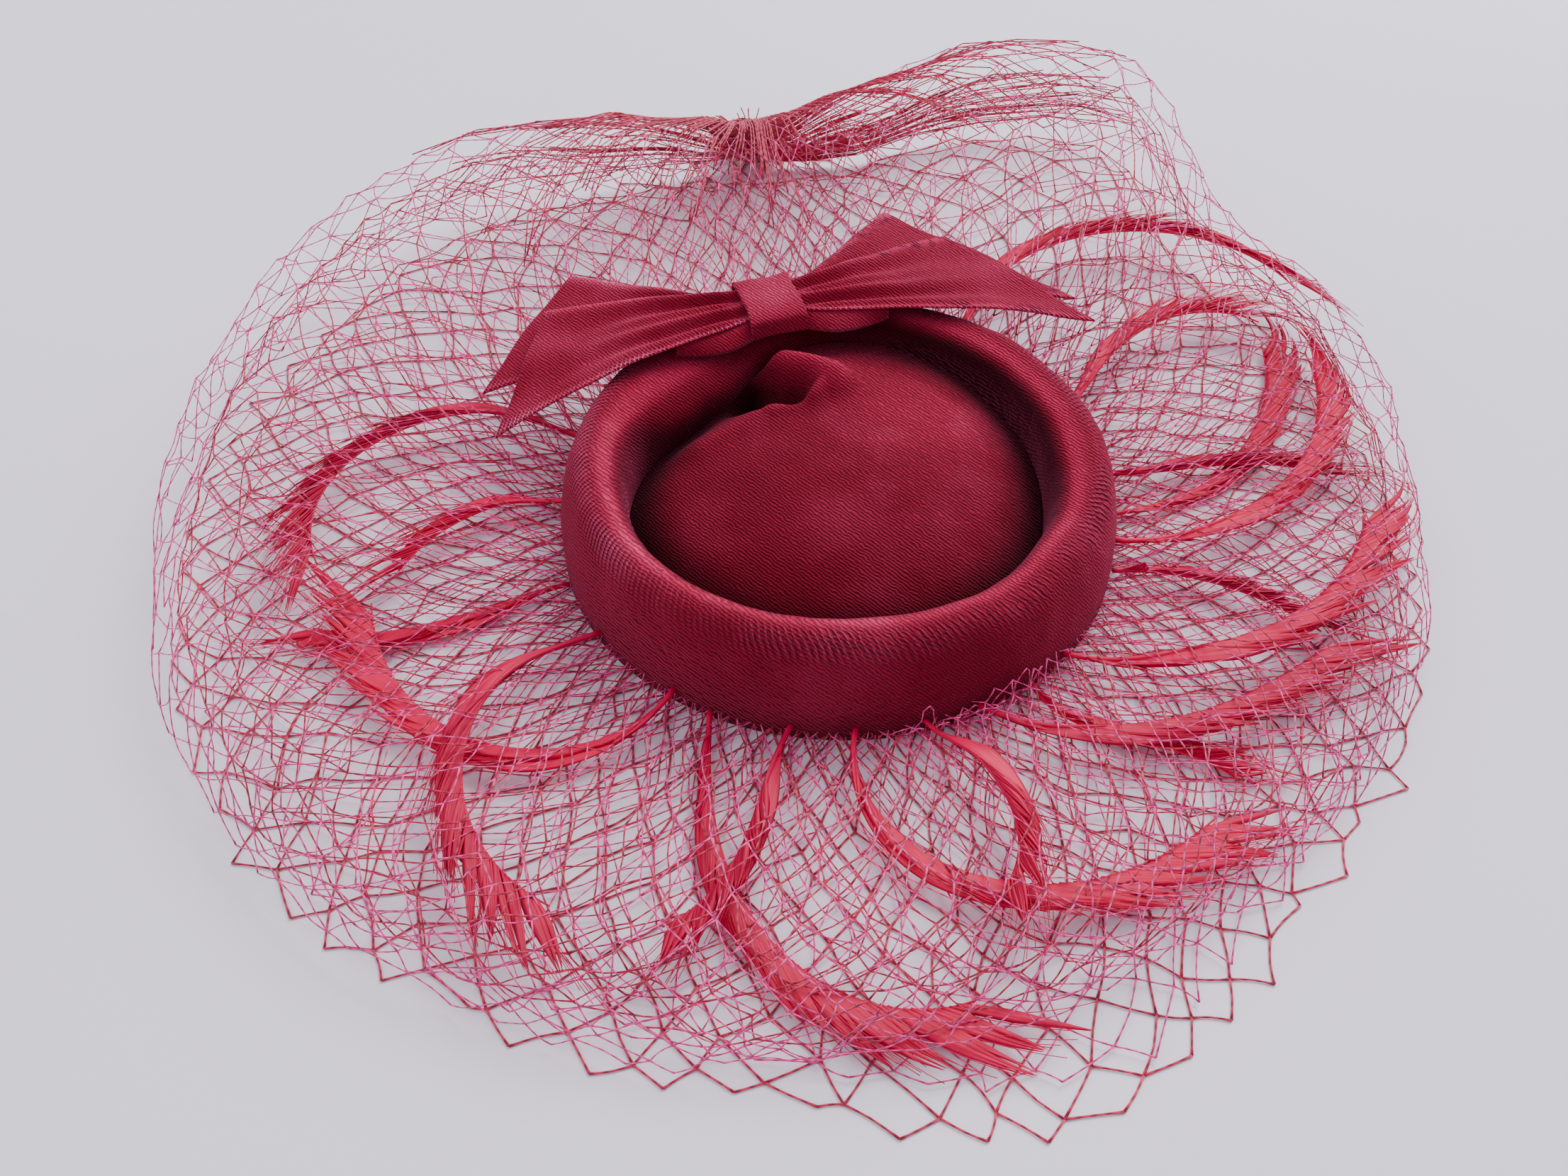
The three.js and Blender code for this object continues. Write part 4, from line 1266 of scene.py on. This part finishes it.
class HAT_OT_stage(bpy.types.Operator):
    """Set the pale floor, the soft daylight and the camera"""

    bl_idname = "hat.stage"
    bl_label = "Stage"

    def execute(self, context):
        self.floor()
        self.lights()
        self.camera()
        return {"FINISHED"}

    def floor(self):
        """A sheet of pale cloth, eight metres wide."""
        bpy.ops.mesh.primitive_plane_add(size=8, location=(0, 0, 0))
        floor = bpy.context.object
        floor.name = "floor"
        finish = Finish("pale_cloth")
        finish.set(Roughness=0.9)
        base = tuple(colours().floor)
        tones = [(0.3, scaled(base, 0.95)), (0.7, scaled(base, 1.05))]
        floor.data.materials.append(finish.colour(finish.ramp(finish.noise(1.1, 2), tones)))

    def lights(self):
        """A pale sky, a broad window at the back right and a weak fill at the left."""
        world = bpy.context.scene.world or bpy.data.worlds.new("World")
        bpy.context.scene.world = world
        world.use_nodes = True
        sky = world.node_tree.nodes["Background"]
        sky.inputs["Color"].default_value = (0.9, 0.88, 1.0, 1)
        sky.inputs["Strength"].default_value = 0.66
        # Each lamp's name, place, size in metres, power in watts and tint.
        lamps = [
            ("window", (0.9, 1.3, 1.5), 1.5, 68, (1.0, 0.98, 0.97)),
            ("fill", (-1.3, -0.2, 1.3), 1.6, 12, (1.0, 0.95, 0.94)),
        ]
        for name, place, size, power, tint in lamps:
            bpy.ops.object.light_add(type="AREA", location=place)
            lamp = bpy.context.object
            lamp.name = name
            lamp.data.size = size
            lamp.data.energy = power
            lamp.data.color = tint
            lamp.rotation_euler = (-Vector(place)).to_track_quat("-Z", "Y").to_euler()

    def camera(self):
        """The photo looks down at the hat at 48 degrees from half a metre away."""
        elevation = math.radians(48)
        distance = 0.506
        target = placed((-18.3, -26.5, 0))
        away = Vector((0, -math.cos(elevation), math.sin(elevation))) * distance
        bpy.ops.object.camera_add(location=target + away, rotation=(math.pi / 2 - elevation, 0, 0))
        camera = bpy.context.object
        camera.data.lens = 35
        camera.data.clip_start = 0.01
        bpy.context.scene.camera = camera


STEPS = ["brim", "crown", "bow", "feathers", "lower_veil", "upper_veil", "veil_knot", "stage"]


class HAT_PT_panel(bpy.types.Panel):
    """Lists the hat's pieces and settings"""

    bl_idname = "HAT_PT_panel"
    bl_label = "Pillbox hat"
    bl_space_type = "VIEW_3D"
    bl_region_type = "UI"
    bl_category = "Hat"

    def draw(self, context):
        scene = context.scene
        for group in (scene.hat_sizes, scene.hat_trims, scene.hat_colours):
            for key in group.__annotations__:
                self.layout.prop(group, key)
        for step in STEPS:
            self.layout.operator(f"hat.{step}")


CLASSES = [
    HatSizes,
    TrimSizes,
    HatColours,
    HAT_OT_brim,
    HAT_OT_crown,
    HAT_OT_bow,
    HAT_OT_feathers,
    HAT_OT_lower_veil,
    HAT_OT_upper_veil,
    HAT_OT_veil_knot,
    HAT_OT_stage,
    HAT_PT_panel,
]


def register():
    for cls in CLASSES:
        bpy.utils.register_class(cls)
    bpy.types.Scene.hat_sizes = bpy.props.PointerProperty(type=HatSizes)
    bpy.types.Scene.hat_trims = bpy.props.PointerProperty(type=TrimSizes)
    bpy.types.Scene.hat_colours = bpy.props.PointerProperty(type=HatColours)


def unregister():
    del bpy.types.Scene.hat_colours
    del bpy.types.Scene.hat_trims
    del bpy.types.Scene.hat_sizes
    for cls in reversed(CLASSES):
        bpy.utils.unregister_class(cls)


def main():
    register()
    for step in STEPS:
        getattr(bpy.ops.hat, step)()


if __name__ == "__main__":
    main()
